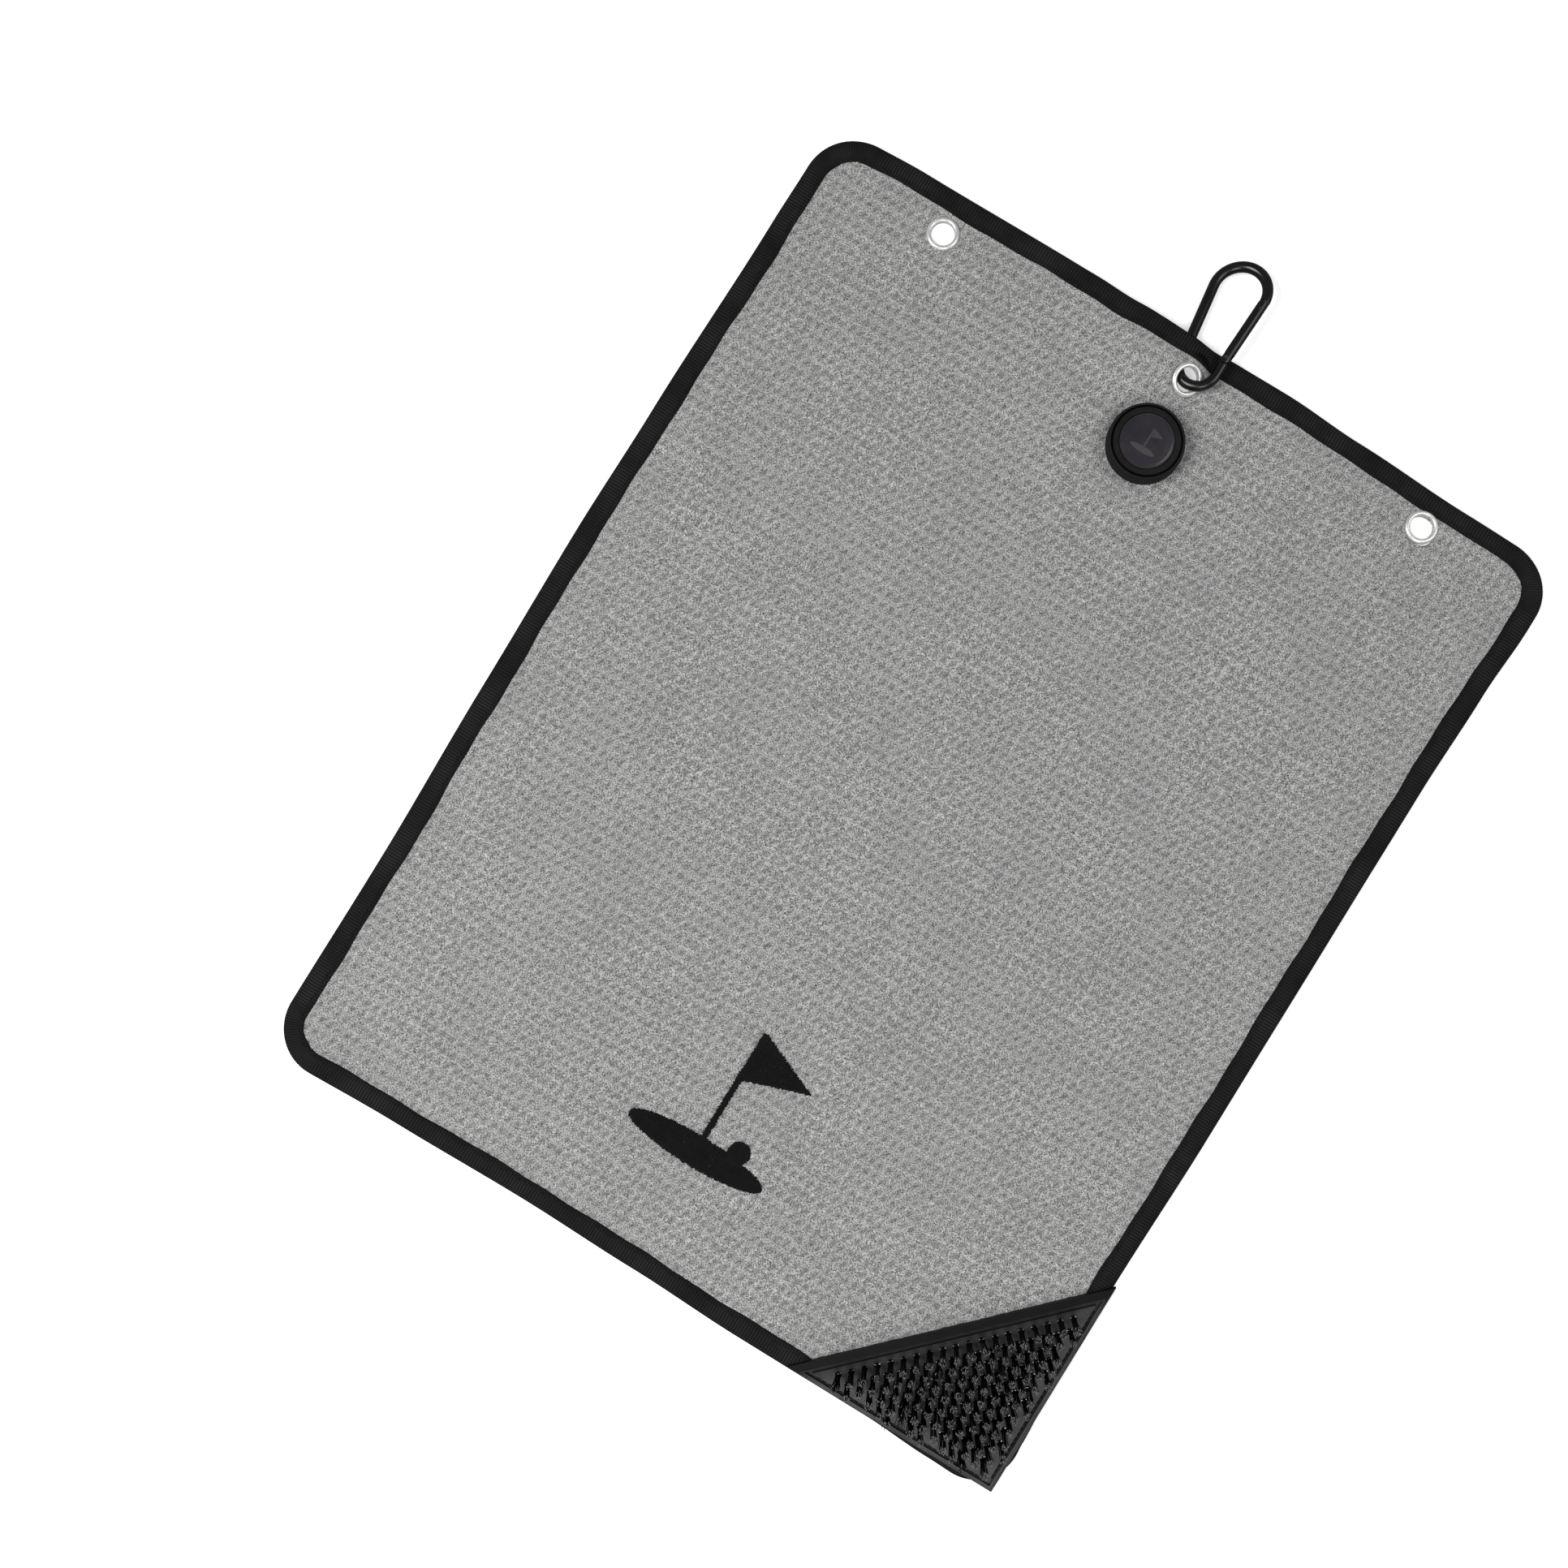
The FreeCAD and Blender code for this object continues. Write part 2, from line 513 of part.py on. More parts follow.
def make_carabiner_gate():
    tube = long_rod("gate_tube", "Sizes.rod_radius", "0", "Sizes.gate_length")
    foot_bar = long_rod("gate_foot_bar", "Sizes.rod_radius", "-Sizes.rod_radius", "Sizes.rod_radius + 1")
    foot_disc = cross_pin("gate_foot_disc", "Sizes.rod_radius", "Sizes.rod_radius * 2", "0", "0")
    solid = fuse("gate_blank", tube, common("gate_foot", foot_bar, foot_disc))
    side = "Sizes.rod_radius + 1"
    fork = middle_box("fork_slot", "-(%s)" % side, side, "-(%s)" % side, "Sizes.fork_slot_end",
                      "Sizes.fork_slot")
    nose_slot = middle_box("nose_slot", "-Sizes.nose_slot_back", side, "Sizes.nose_slot_start",
                           "Sizes.gate_length + 1", "Sizes.nose_slot_width")
    bore = long_rod("gate_bore", "Sizes.gate_bore_radius", "Sizes.fork_slot_end - Sizes.gate_bore_overlap",
                    "Sizes.gate_bore_end - Sizes.fork_slot_end + Sizes.gate_bore_overlap")
    ears = cross_pin("ear_bore", "Sizes.ear_bore_radius", "Sizes.rod_radius * 3", "0", "0")
    catch = cross_pin("catch_bore", "Sizes.catch_bore_radius", "Sizes.rod_radius * 3",
                      "Sizes.catch_offset", "Sizes.catch_height")
    tools = fuse("gate_cuts", fork, nose_slot, bore, ears, catch)
    placement = clip_placement().multiply(gate_placement())
    moved_copy("carabiner_gate", cut("gate_milled", solid, tools), placement)
    pin = cross_pin("hinge_rivet", "Sizes.hinge_pin_radius", "Sizes.hinge_pin_length", "0", "0")
    moved_copy("gate_hinge_pin", pin, placement)
    pin = cross_pin("catch_bar", "Sizes.catch_pin_radius", "Sizes.catch_pin_length",
                    "Sizes.catch_offset", "Sizes.catch_height")
    moved_copy("gate_catch_pin", pin, placement)
    plunger = long_rod("plunger_blank", "Sizes.plunger_radius", "Sizes.plunger_start", "Sizes.plunger_length")
    moved_copy("gate_plunger", plunger, placement)
    moved_copy("gate_spring", make_spring(), placement)


def make_spring():
    """Coil spring between the plunger and the end of the gate's bore."""
    start = size("plunger_start") + size("plunger_length") + size("spring_wire_radius") + RECESS_GAP
    length = size("gate_bore_end") - start - size("spring_wire_radius") - RECESS_GAP
    helix = doc.addObject("Part::Helix", "spring_line")
    bind(helix, Radius="Sizes.spring_radius", Pitch="Sizes.spring_pitch")
    helix.Height = length
    wire = doc.addObject("Part::Circle", "spring_wire")
    bind(wire, Radius="Sizes.spring_wire_radius")
    place(wire, Vector(size("spring_radius"), 0, 0), FreeCAD.Rotation(X_AXIS, 90))
    sweep = doc.addObject("Part::Sweep", "spring_coil")
    sweep.Sections = [wire]
    sweep.Spine = (helix, ["Edge1"])
    sweep.Solid = True
    sweep.Frenet = True
    return place(sweep, Vector(0, start, 0), FreeCAD.Rotation(X_AXIS, -90))


# ---------------------------------------------------------------- magnetic puck

def puck_centre():
    return Vector(size("puck_x"), size("puck_y"), 0)


def make_grip_ring():
    """Collar round the puck, slightly narrower at the top."""
    bottom = "Sizes.puck_seat"
    top = "Sizes.ring_top_radius"
    corners = [("Sizes.ring_bore_radius", bottom), ("Sizes.ring_radius", bottom),
               ("Sizes.ring_radius - Sizes.ring_taper", bottom + " + Sizes.ring_taper_height"),
               (top + " + Sizes.ring_shoulder_out", "Sizes.puck_height - Sizes.ring_shoulder_drop"),
               (top + " - Sizes.ring_round", "Sizes.puck_height - Sizes.ring_round_drop"),
               (top + " - Sizes.ring_flat", "Sizes.puck_height"),
               ("Sizes.ring_bore_radius + Sizes.ring_lip", "Sizes.puck_height"),
               ("Sizes.ring_bore_radius", "Sizes.puck_height - Sizes.ring_round")]
    part(revolved_body("magnet_grip_ring", corners, puck_centre()), "magnet_grip_ring")


def make_magnet_housing():
    """Cup that holds the magnet from below and the marker from above."""
    centre = puck_centre()
    corners = [("Sizes.magnet_pocket_radius", "Sizes.puck_seat"),
               ("Sizes.housing_radius", "Sizes.puck_seat"),
               ("Sizes.housing_radius", "Sizes.puck_height - Sizes.housing_groove"),
               ("Sizes.housing_top_radius", "Sizes.puck_height - Sizes.housing_groove"),
               ("Sizes.housing_top_radius", "Sizes.puck_height - Sizes.housing_round"),
               ("Sizes.housing_top_radius - Sizes.housing_round", "Sizes.puck_height"),
               ("Sizes.marker_seat_radius + Sizes.seat_round", "Sizes.puck_height"),
               ("Sizes.marker_seat_radius", "Sizes.puck_height - Sizes.seat_round"),
               ("Sizes.marker_seat_radius", "Sizes.marker_seat_height"),
               ("0", "Sizes.marker_seat_height"),
               ("0", "Sizes.magnet_pocket_top"),
               ("Sizes.magnet_pocket_radius", "Sizes.magnet_pocket_top")]
    blank = revolved_body("housing_blank", corners, centre)
    holes = [cylinder("boss_hole_%d" % i, "Sizes.screw_radius + Sizes.screw_hole_gap",
                      "Sizes.screw_tip + Sizes.screw_hole_extra", point)
             for i, point in enumerate(screw_points())]
    part(cut("housing_drilled", blank, fuse("boss_holes", *holes)), "magnet_housing")


def make_back_plate():
    centre = puck_centre()
    blank = cylinder("plate_blank", "Sizes.back_plate_radius", "Sizes.back_plate_height", centre)
    tools = []
    for i, point in enumerate(screw_points()):
        tools.append(cylinder("plate_hole_%d" % i, "Sizes.screw_radius + Sizes.plate_hole_gap",
                              "Sizes.back_plate_height", point))
        tools.append(cylinder("plate_sink_%d" % i, "Sizes.screw_head_radius + Sizes.screw_sink_gap",
                              "Sizes.screw_sink_depth", point))
    part(cut("plate_drilled", blank, fuse("plate_holes", *tools)), "magnet_back_plate")


def make_puck_screws():
    """Three flat-headed screws, driven from the back; their heads lie below the plate's face."""
    screws = []
    for i, point in enumerate(screw_points()):
        lifted = point + Vector(0, 0, size("screw_recess"))
        head = cylinder("screw_head_%d" % i, "Sizes.screw_head_radius", "Sizes.screw_head_height", lifted)
        shank = cylinder("screw_shank_%d" % i, "Sizes.screw_radius", "Sizes.screw_tip", lifted)
        half_slot = size("screw_head_radius") * SCREW_SLOT_SHARE
        slot = box("screw_slot_%d" % i, str(2 * half_slot), "Sizes.screw_slot_width",
                   "Sizes.screw_slot_depth", lifted - Vector(half_slot, size("screw_slot_width") / 2, 0))
        screws.append(cut("screw_%d" % i, fuse("screw_blank_%d" % i, head, shank), slot))
    group = doc.addObject("Part::Compound", "screws")
    group.Links = screws
    part(group, "puck_screws")


def make_magnet():
    centre = puck_centre()
    keeper_low = "Sizes.puck_seat + Sizes.keeper_gap"
    keeper_high = "Sizes.magnet_pocket_top - Sizes.keeper_rim_gap"
    keeper = [("0", keeper_low), ("Sizes.keeper_radius", keeper_low),
              ("Sizes.keeper_radius", keeper_high),
              ("Sizes.keeper_radius - Sizes.keeper_wall", keeper_high),
              ("Sizes.keeper_radius - Sizes.keeper_wall", keeper_low + " + Sizes.keeper_wall"),
              ("0", keeper_low + " + Sizes.keeper_wall")]
    part(revolved_body("magnet_keeper", keeper, centre), "magnet_keeper")
    low = "Sizes.puck_seat + Sizes.keeper_wall + Sizes.magnet_gap"
    high = "Sizes.magnet_pocket_top - Sizes.magnet_gap"
    radius = "Sizes.magnet_radius"
    flat = radius + " - Sizes.magnet_round"
    magnet = [("0", low), (flat, low), (radius, low + " + Sizes.magnet_round"),
              (radius, high + " - Sizes.magnet_round"), (flat, high), ("0", high)]
    part(revolved_body("disc_magnet", magnet, centre), "disc_magnet")


def make_ball_marker():
    centre = puck_centre()
    bottom = "Sizes.marker_seat_height + Sizes.marker_gap"
    radius = "Sizes.marker_radius"
    inner = "Sizes.marker_radius - Sizes.marker_rim"
    top = "Sizes.marker_rim_top"
    disc = [("0", bottom), (radius + " - Sizes.marker_round", bottom),
            (radius, bottom + " + Sizes.marker_round"), (radius, top + " - Sizes.marker_rim_round"),
            (radius + " - Sizes.marker_rim_round", top), (inner + " + Sizes.marker_rim_inner", top),
            (inner, top + " - Sizes.marker_rim_inner"),
            (inner, "Sizes.marker_floor"), ("0", "Sizes.marker_floor")]
    part(revolved_body("ball_marker", disc, centre), "ball_marker")
    edge = inner + " - Sizes.marker_gap"
    floor = "Sizes.marker_floor + Sizes.inlay_gap"
    inlay = [("0", floor), (edge, floor), (edge, floor + " + Sizes.inlay_edge_height")]
    inlay += [("%s - %s" % (edge, inward), "%s + %s" % (floor, rise)) for inward, rise in INLAY_DOME]
    inlay.append(("0", floor + " + Sizes.inlay_height"))
    part(revolved_body("marker_inlay", inlay, centre), "marker_inlay")


# ---------------------------------------------------------------- corner brush

def brush_triangle(leg_inset, long_inset):
    """Corners of the brush's outline moved in, as expressions from the brush's square corner."""
    reach = "Sizes.brush_leg - (%s) * sqrt(2) - (%s)" % (long_inset, leg_inset)
    return [("-(%s)" % leg_inset, leg_inset), ("-(%s)" % leg_inset, reach), ("-(%s)" % reach, leg_inset)]


def tuft_points():
    """Feet of the tufts: staggered rows parallel to the long side."""
    top = size("binding_height") + size("brush_height")
    corner = Vector(size("brush_corner_x"), size("brush_corner_y"), top)
    depth = size("brush_leg") / math.sqrt(2)
    inner_depth = depth - size("tuft_margin") * math.sqrt(2)
    inward = Vector(1, -1, 0).normalize()
    along = Vector(1, 1, 0).normalize()
    pitch = size("tuft_pitch")
    rows = []
    distance = size("first_row")
    while distance < inner_depth:
        half = inner_depth - distance
        offset = pitch / 2 * (len(rows) % 2)
        steps = int((half + offset) / pitch) + 1
        row = []
        for i in range(-steps, steps + 1):
            across = i * pitch + offset
            if abs(across) <= half:
                row.append(corner - inward * (depth - distance) + along * across)
        if row:
            rows.append(row)
        distance += size("row_spacing")
    return rows


def ejector_points():
    """Shallow round marks of the mould's pins, between the tufts and the two legs."""
    top = size("binding_height") + size("brush_height")
    corner = Vector(size("brush_corner_x"), size("brush_corner_y"), top)
    reach = size("brush_leg")
    inset = size("ejector_inset")
    along_bottom = [corner + Vector(-reach * share, inset, 0) for share in BOTTOM_EJECTORS]
    along_side = [corner + Vector(-inset, reach * share, 0) for share in SIDE_EJECTORS]
    return along_bottom + along_side + [corner + Vector(-inset, inset, 0)]


def make_brush_base():
    body = doc.addObject("PartDesign::Body", "brush_blank")
    outline = new_sketch(body, "brush_outline", "XY_Plane")
    add_polygon(outline, brush_triangle("0", "0"))
    skirt = body.newObject("PartDesign::Pad", "brush_skirt")
    skirt.Profile = outline
    skirt.setExpression("Length", "Sizes.brush_skirt")
    doc.recompute()
    lower = new_sketch(body, "bevel_foot", "XY_Plane")
    lower.setExpression("AttachmentOffset.Base.z", "Sizes.brush_skirt")
    add_polygon(lower, brush_triangle("0", "0"))
    upper = new_sketch(body, "bevel_head", "XY_Plane")
    upper.setExpression("AttachmentOffset.Base.z", "Sizes.brush_height")
    add_polygon(upper, brush_triangle("Sizes.brush_leg_bevel", "Sizes.brush_long_bevel"))
    doc.recompute()
    bevel = body.newObject("PartDesign::AdditiveLoft", "brush_bevel")
    bevel.Profile = lower
    bevel.Sections = [upper]
    bevel.Ruled = True
    doc.recompute()
    groove_sketch = new_sketch(body, "groove_outline", "XY_Plane")
    groove_sketch.setExpression("AttachmentOffset.Base.z", "Sizes.brush_height")
    add_polygon(groove_sketch, brush_triangle("Sizes.groove_leg_outer", "Sizes.groove_long_outer"))
    add_polygon(groove_sketch, brush_triangle("Sizes.groove_leg_inner", "Sizes.groove_long_inner"))
    before = body.Shape.Volume
    groove = body.newObject("PartDesign::Pocket", "sewing_groove")
    groove.Profile = groove_sketch
    groove.setExpression("Length", "Sizes.groove_depth")
    doc.recompute()
    if body.Shape.Volume >= before:
        raise RuntimeError("the sewing groove cuts nothing")
    place(body, Vector(size("brush_corner_x"), size("brush_corner_y"), size("binding_height")))
    doc.recompute()
    depth = size("tuft_hole_depth")
    tools = [Part.makeCylinder(size("tuft_hole_radius"), depth + 1, point - Vector(0, 0, depth))
             for row in tuft_points() for point in row]
    tools += [Part.makeCylinder(size("tuft_hole_radius"), 1, point - Vector(0, 0, size("ejector_depth")))
              for point in ejector_points()]
    shape_part("brush_base", body.Shape.cut(tools))


def make_tufts():
    """One tuft and one anchor are made once and copied to every hole."""
    slot_gap = RECESS_GAP
    foot = -size("tuft_hole_depth") + slot_gap
    length = size("tuft_length")
    bundle = Part.makeCone(size("tuft_foot_radius"), size("tuft_tip_radius"), length, Vector(0, 0, foot))
    long, thick, tall = size("anchor_length"), size("anchor_thickness"), size("anchor_height")
    slot = Part.makeBox(2 * long, thick + 2 * slot_gap, tall + slot_gap,
                        Vector(-long, -thick / 2 - slot_gap, foot))
    staple = Part.makeBox(long, thick, tall, Vector(-long / 2, -thick / 2, foot))
    turn = FreeCAD.Rotation(Z_AXIS, 45)
    rows = tuft_points()
    corner_tufts = [rows[0][0], rows[0][-1], rows[-1][0]]
    groups = {"corner_tufts": [], "brush_tufts": [], "tuft_anchors": []}
    for point in [point for row in rows for point in row]:
        spot = FreeCAD.Placement(point, turn)
        node = "corner_tufts" if point in corner_tufts else "brush_tufts"
        tuft = bundle.cut(slot)
        tuft.Placement = spot
        groups[node].append(tuft)
        anchor = staple.copy()
        anchor.Placement = spot
        groups["tuft_anchors"].append(anchor)
    for label, solids in groups.items():
        shape_part(label, Part.makeCompound(solids))


def make_brush_stitching():
    """Stitches lying in the groove along both legs."""
    pitch, length = size("brush_stitch_pitch"), size("brush_stitch_length")
    radius = size("brush_stitch_radius")
    middle = (size("groove_leg_outer") + size("groove_leg_inner")) / 2
    groove_floor = size("binding_height") + size("brush_height") - size("groove_depth")
    middle_height = groove_floor + radius + size("brush_stitch_gap")
    corner = Vector(size("brush_corner_x"), size("brush_corner_y"), middle_height)
    first = size("brush_stitch_start")
    count = int((size("brush_leg") - size("brush_stitch_stop") - first) / pitch)
    stitches = []
    for i in range(count):
        start = first + i * pitch
        stitches.append(Part.makeCylinder(radius, length, corner + Vector(-middle, start, 0), Y_AXIS))
        stitches.append(Part.makeCylinder(radius, length, corner + Vector(-start, middle, 0), -X_AXIS))
    shape_part("brush_stitching", Part.makeCompound(stitches))


# ---------------------------------------------------------------- embroidered motif

def make_emblem():
    """A flag stick on a green with a ball, raised a thread's height above the cloth."""
    low = size("binding_height") - size("tape_thickness")
    rise = Vector(0, 0, size("motif_thickness"))
    centre = Vector(size("motif_x"), size("motif_y"), low)
    half_height = size("motif_height") / 2
    half_width = size("motif_width") / 2
    green_half = size("green_height") / 2
    green_centre = centre + Vector(0, green_half - half_height, 0)
    green = Part.Ellipse(green_centre, half_width, green_half).toShape()
    green = Part.Face(Part.Wire([green])).extrude(rise)
    pole_left = centre + Vector(-size("pole_width") / 2, -half_height + green_half, 0)
    pole = Part.makeBox(size("pole_width"), 2 * half_height - green_half, rise.z, pole_left)
    top = centre + Vector(0, half_height, 0)
    drop = size("pennant_drop")
    pennant = flat_polygon([top, top + Vector(size("pennant_length"), -drop * PENNANT_TIP_SHARE, 0),
                            top + Vector(0, -drop, 0)]).extrude(rise)
    ball_centre = centre + Vector(half_width * BALL_ACROSS_SHARE, -half_height + BALL_UP_SHARE * green_half, 0)
    ball = Part.makeCylinder(size("motif_ball_radius"), rise.z, ball_centre)
    shape_part("embroidered_emblem", green.fuse([pole, pennant, ball]).removeSplitter())


# ---------------------------------------------------------------- build, check and write

make_towel_cloth()
make_edge_binding()
make_binding_stitching()
for side, (eyelet_origin, eyelet_rotation) in eyelet_positions().items():
    make_eyelet(side, eyelet_origin, eyelet_rotation)
make_carabiner_body()
make_carabiner_gate()
make_grip_ring()
make_magnet_housing()
make_back_plate()
make_puck_screws()
make_magnet()
make_ball_marker()
make_brush_base()
make_tufts()
make_brush_stitching()
make_emblem()
doc.recompute()

for obj in doc.Objects:
    if "Invalid" in obj.State or "Error" in obj.State:
        raise RuntimeError("%s failed: %s" % (obj.Label, obj.State))
os.makedirs("parts", exist_ok=True)
for obj in parts:
    if obj.Shape.isNull() or not obj.Shape.isValid():
        raise RuntimeError("%s has no valid shape" % obj.Label)
    if not obj.Shape.Solids:
        raise RuntimeError("%s has no solid" % obj.Label)
for obj in parts:
    obj.Shape.exportStep("parts/%s.step" % obj.Label)
    print("%-24s solids %3d volume %10.2f mm3" % (obj.Label, len(obj.Shape.Solids), obj.Shape.Volume))
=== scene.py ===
import math
import random

import bmesh
import bpy
import numpy as np
from mathutils import Matrix, Vector


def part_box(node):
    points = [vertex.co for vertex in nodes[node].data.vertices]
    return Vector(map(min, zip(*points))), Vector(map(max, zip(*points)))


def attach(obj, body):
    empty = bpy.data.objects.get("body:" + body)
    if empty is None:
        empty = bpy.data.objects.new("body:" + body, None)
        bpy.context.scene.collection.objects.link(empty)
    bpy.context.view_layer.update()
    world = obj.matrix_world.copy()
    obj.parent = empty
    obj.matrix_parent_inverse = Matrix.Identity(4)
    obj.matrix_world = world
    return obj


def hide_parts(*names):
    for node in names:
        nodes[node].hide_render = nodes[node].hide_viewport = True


# A golf towel lying face up on a pale floor. Lengths in the code are in millimetres and are
# turned into metres by MM when a mesh is made.

MM = 0.001
TAU = 2 * math.pi

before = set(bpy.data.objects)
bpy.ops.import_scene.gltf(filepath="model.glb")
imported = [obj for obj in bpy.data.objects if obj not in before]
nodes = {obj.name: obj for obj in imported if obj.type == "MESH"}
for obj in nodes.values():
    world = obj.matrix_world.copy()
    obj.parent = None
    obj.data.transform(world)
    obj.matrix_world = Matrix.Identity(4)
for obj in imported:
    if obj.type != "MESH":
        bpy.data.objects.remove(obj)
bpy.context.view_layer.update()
rng = random.Random(41)

# the towel
HALF_WIDTH = 202.0
HALF_LENGTH = 257.0
CORNER_RADIUS = 25.0
CLOTH_TOP = 2.65
BINDING_WIDTH = 10.3
WEAVE_X = 4.74            # one cell of the waffle weave
WEAVE_Y = 6.1
WEAVE_SLANT = 0.42        # how far a cell's pit leans, across per along
EYELETS = ((-129.0, 237.8), (5.0, 237.8), (136.0, 237.8))
CLOTH_HOLE = 7.0          # under the flange, outside the barrel
CENTRE_EYELET_HEIGHT = 6.26
PUCK = (4.2, 202.0)
PUCK_RADIUS = 18.5
PUCK_GAP_SHADE = (PUCK, 15.6, 17.0)   # painted shadow in the gap inside the collar: centre, inner and outer radius
BRUSH_CORNER = (199.8, -255.6)
BRUSH_LEG = 112.5
BRUSH_FOOT = 3.2          # height of its underside
BRUSH_THICKNESS = 4.4

# How far the edge wanders from a straight line, as (position along the edge, offset outwards).
LEFT_EDGE = ((-240, 0.2), (-150, -0.4), (-60, 1.0), (30, 1.8), (95, 0.8), (200, -1.2), (235, -1.8))
RIGHT_EDGE = ((-252, 2.5), (-242, 0.8), (-228, -0.4), (-205, -1.5), (-150, -2.4), (-60, -1.0),
              (60, -0.8), (130, -0.6), (185, 0.6), (225, 2.4))
TOP_EDGE = ((-190, -0.4), (-150, 1.2), (-60, 2.2), (-32, 0.6), (-4, -1.0), (22, 1.0), (50, 1.2),
            (90, -0.6), (150, -2.6), (190, -3.2))
BOTTOM_EDGE = ((-195, 0.0), (-130, -1.6), (-60, -2.4), (0, -1.4), (60, 0.2), (100, 0.3),
               (130, 0.4), (165, 1.9), (190, 2.6))


# ---------------------------------------------------------------- shapes that several pieces share

def smooth(t):
    """Rises from 0 to 1 as t does, level at both ends."""
    t = np.clip(t, 0.0, 1.0)
    return t * t * (3 - 2 * t)


def along(points, t):
    """A smooth curve through (position, value) points, level at each of them."""
    t = np.asarray(t, float)
    xs = np.array([p[0] for p in points], float)
    ys = np.array([p[1] for p in points], float)
    i = np.clip(np.searchsorted(xs, t) - 1, 0, len(xs) - 2)
    return ys[i] + (ys[i + 1] - ys[i]) * smooth((t - xs[i]) / (xs[i + 1] - xs[i]))


def ellipse_points(cx, cy, rx, ry, count=72):
    """Points round an ellipse, counter-clockwise from its right end."""
    turns = [TAU * i / count for i in range(count)]
    return [(cx + rx * math.cos(turn), cy + ry * math.sin(turn)) for turn in turns]


def waver(x, y):
    """Moves a point of the ideal rounded rectangle to where the soft edge really lies."""
    across = np.clip(np.abs(x) / HALF_WIDTH, 0, 1) ** 3
    up = np.clip(np.abs(y) / HALF_LENGTH, 0, 1) ** 4
    dx = np.where(x > 0, along(RIGHT_EDGE, y), -along(LEFT_EDGE, y)) * across
    dy = np.where(y > 0, along(TOP_EDGE, x), -along(BOTTOM_EDGE, x)) * up
    return x + dx, y + dy


# The ridge over the carabiner's spine: rows along the towel and their share of its height.
RIDGE_ROWS = (221.0, 231.0, 241.0, 257.0)
RIDGE_SHARES = (0.0, 0.72, 1.0, 0.72)
RIDGE_HEIGHT = 9.7
RIDGE_CREST = -2.5
RIDGE_CREST_SHIFT = 1.5   # how far the crest and the foot move between the crest's row and the edge
RIDGE_FOOT = 14.5
RIDGE_FOOT_SHIFT = -3.5
RIDGE_SKIRT = -60.0       # where the long, low slope on the left begins
RIDGE_STEEP = -40.0       # and where it turns steep
RIDGE_STEEP_RUN = 28.0
RIDGE_SKIRT_SHARE = 0.35
RIDGE_SMOOTHING = 3.0


def facet_ridge(x, y):
    """Height of the sheet's underside where it rides over the carabiner's spine."""
    share = np.interp(y, RIDGE_ROWS, RIDGE_SHARES)
    edge = np.clip((y - RIDGE_ROWS[2]) / (RIDGE_ROWS[3] - RIDGE_ROWS[2]), 0, 1)
    crest = RIDGE_CREST + RIDGE_CREST_SHIFT * edge
    foot = RIDGE_FOOT + RIDGE_FOOT_SHIFT * edge
    skirt = RIDGE_SKIRT_SHARE * np.clip((x - RIDGE_SKIRT) / (RIDGE_STEEP - RIDGE_SKIRT), 0, 1)
    slope = (1 - RIDGE_SKIRT_SHARE) * np.clip((x - RIDGE_STEEP) / RIDGE_STEEP_RUN, 0, 1)
    rise = np.where(x < RIDGE_STEEP, skirt, RIDGE_SKIRT_SHARE + slope)
    fall = np.clip((foot - x) / (foot - crest), 0, 1)
    return RIDGE_HEIGHT * share * np.minimum(rise, fall)


def ridge(x, y):
    """The faceted ridge, rounded by averaging it over a small square."""
    offsets = (-1.0, -0.5, 0.0, 0.5, 1.0)
    total = 0
    for a in offsets:
        for b in offsets:
            total = total + facet_ridge(x + a * RIDGE_SMOOTHING, y + b * RIDGE_SMOOTHING)
    return total / len(offsets) ** 2


RIPPLE_HEIGHT = 0.9
EMBLEM_MIDDLE = (-2.5, -163.0)


def ripple(x, y):
    """Slow swells that a flat cloth keeps, held down near everything fixed to it."""
    swell = (np.sin(x / 41.0 + 0.8 * np.sin(y / 63.0)) * np.sin(y / 57.0 + 1.1)
             + 0.6 * np.sin((x + 1.7 * y) / 68.0 + 0.4))
    free = smooth((HALF_WIDTH - 14 - np.abs(x)) / 45) * smooth((HALF_LENGTH - 14 - np.abs(y)) / 45)
    free = free * smooth((np.hypot(x - PUCK[0], y - PUCK[1]) - 22) / 30)
    free = free * smooth((np.abs(x - EMBLEM_MIDDLE[0]) - 20) / 30
                         + np.abs((y - EMBLEM_MIDDLE[1]) / 60) ** 4)
    return RIPPLE_HEIGHT * free * np.clip(0.5 + 0.5 * swell / 1.3, 0, 1)


def eyelet_axis():
    """The middle eyelet's axis, from the CAD ring itself."""
    ring = np.array([v.co for v in nodes["centre_eyelet"].data.vertices], float) / MM
    axis = np.linalg.svd(ring - ring.mean(0), full_matrices=False)[2][2]
    return axis if axis[2] > 0 else -axis


EYELET_CENTRE = (*EYELETS[1], CENTRE_EYELET_HEIGHT)
EYELET_AXIS = eyelet_axis()
PRESSED_RADIUS = 8.2      # round an eyelet the sheet is pinched flat as far as this
FREE_RADIUS = 8.6         # round the middle one it follows the eyelet's tilt as far as this,
FREE_RUN = 4.2            # and is at its own height again this much further out


def sheet_height(x, y, offset):
    """Height of the sheet where it is offset above its underside, tilted under the eyelet."""
    z = ridge(x, y) + ripple(x, y) + offset
    level = (CLOTH_TOP / 2) - offset
    cx, cy, cz = EYELET_CENTRE
    nx, ny, nz = EYELET_AXIS
    plane = cz - ((x - cx) * nx + (y - cy) * ny) / nz
    r = np.hypot(x - cx, y - cy)
    squeeze = 0.36 + 0.55 * smooth((r - PRESSED_RADIUS) / 2.5)
    plane = plane - level * squeeze / nz
    tilted = 1 - smooth((r - FREE_RADIUS) / FREE_RUN)
    return z * (1 - tilted) + plane * tilted


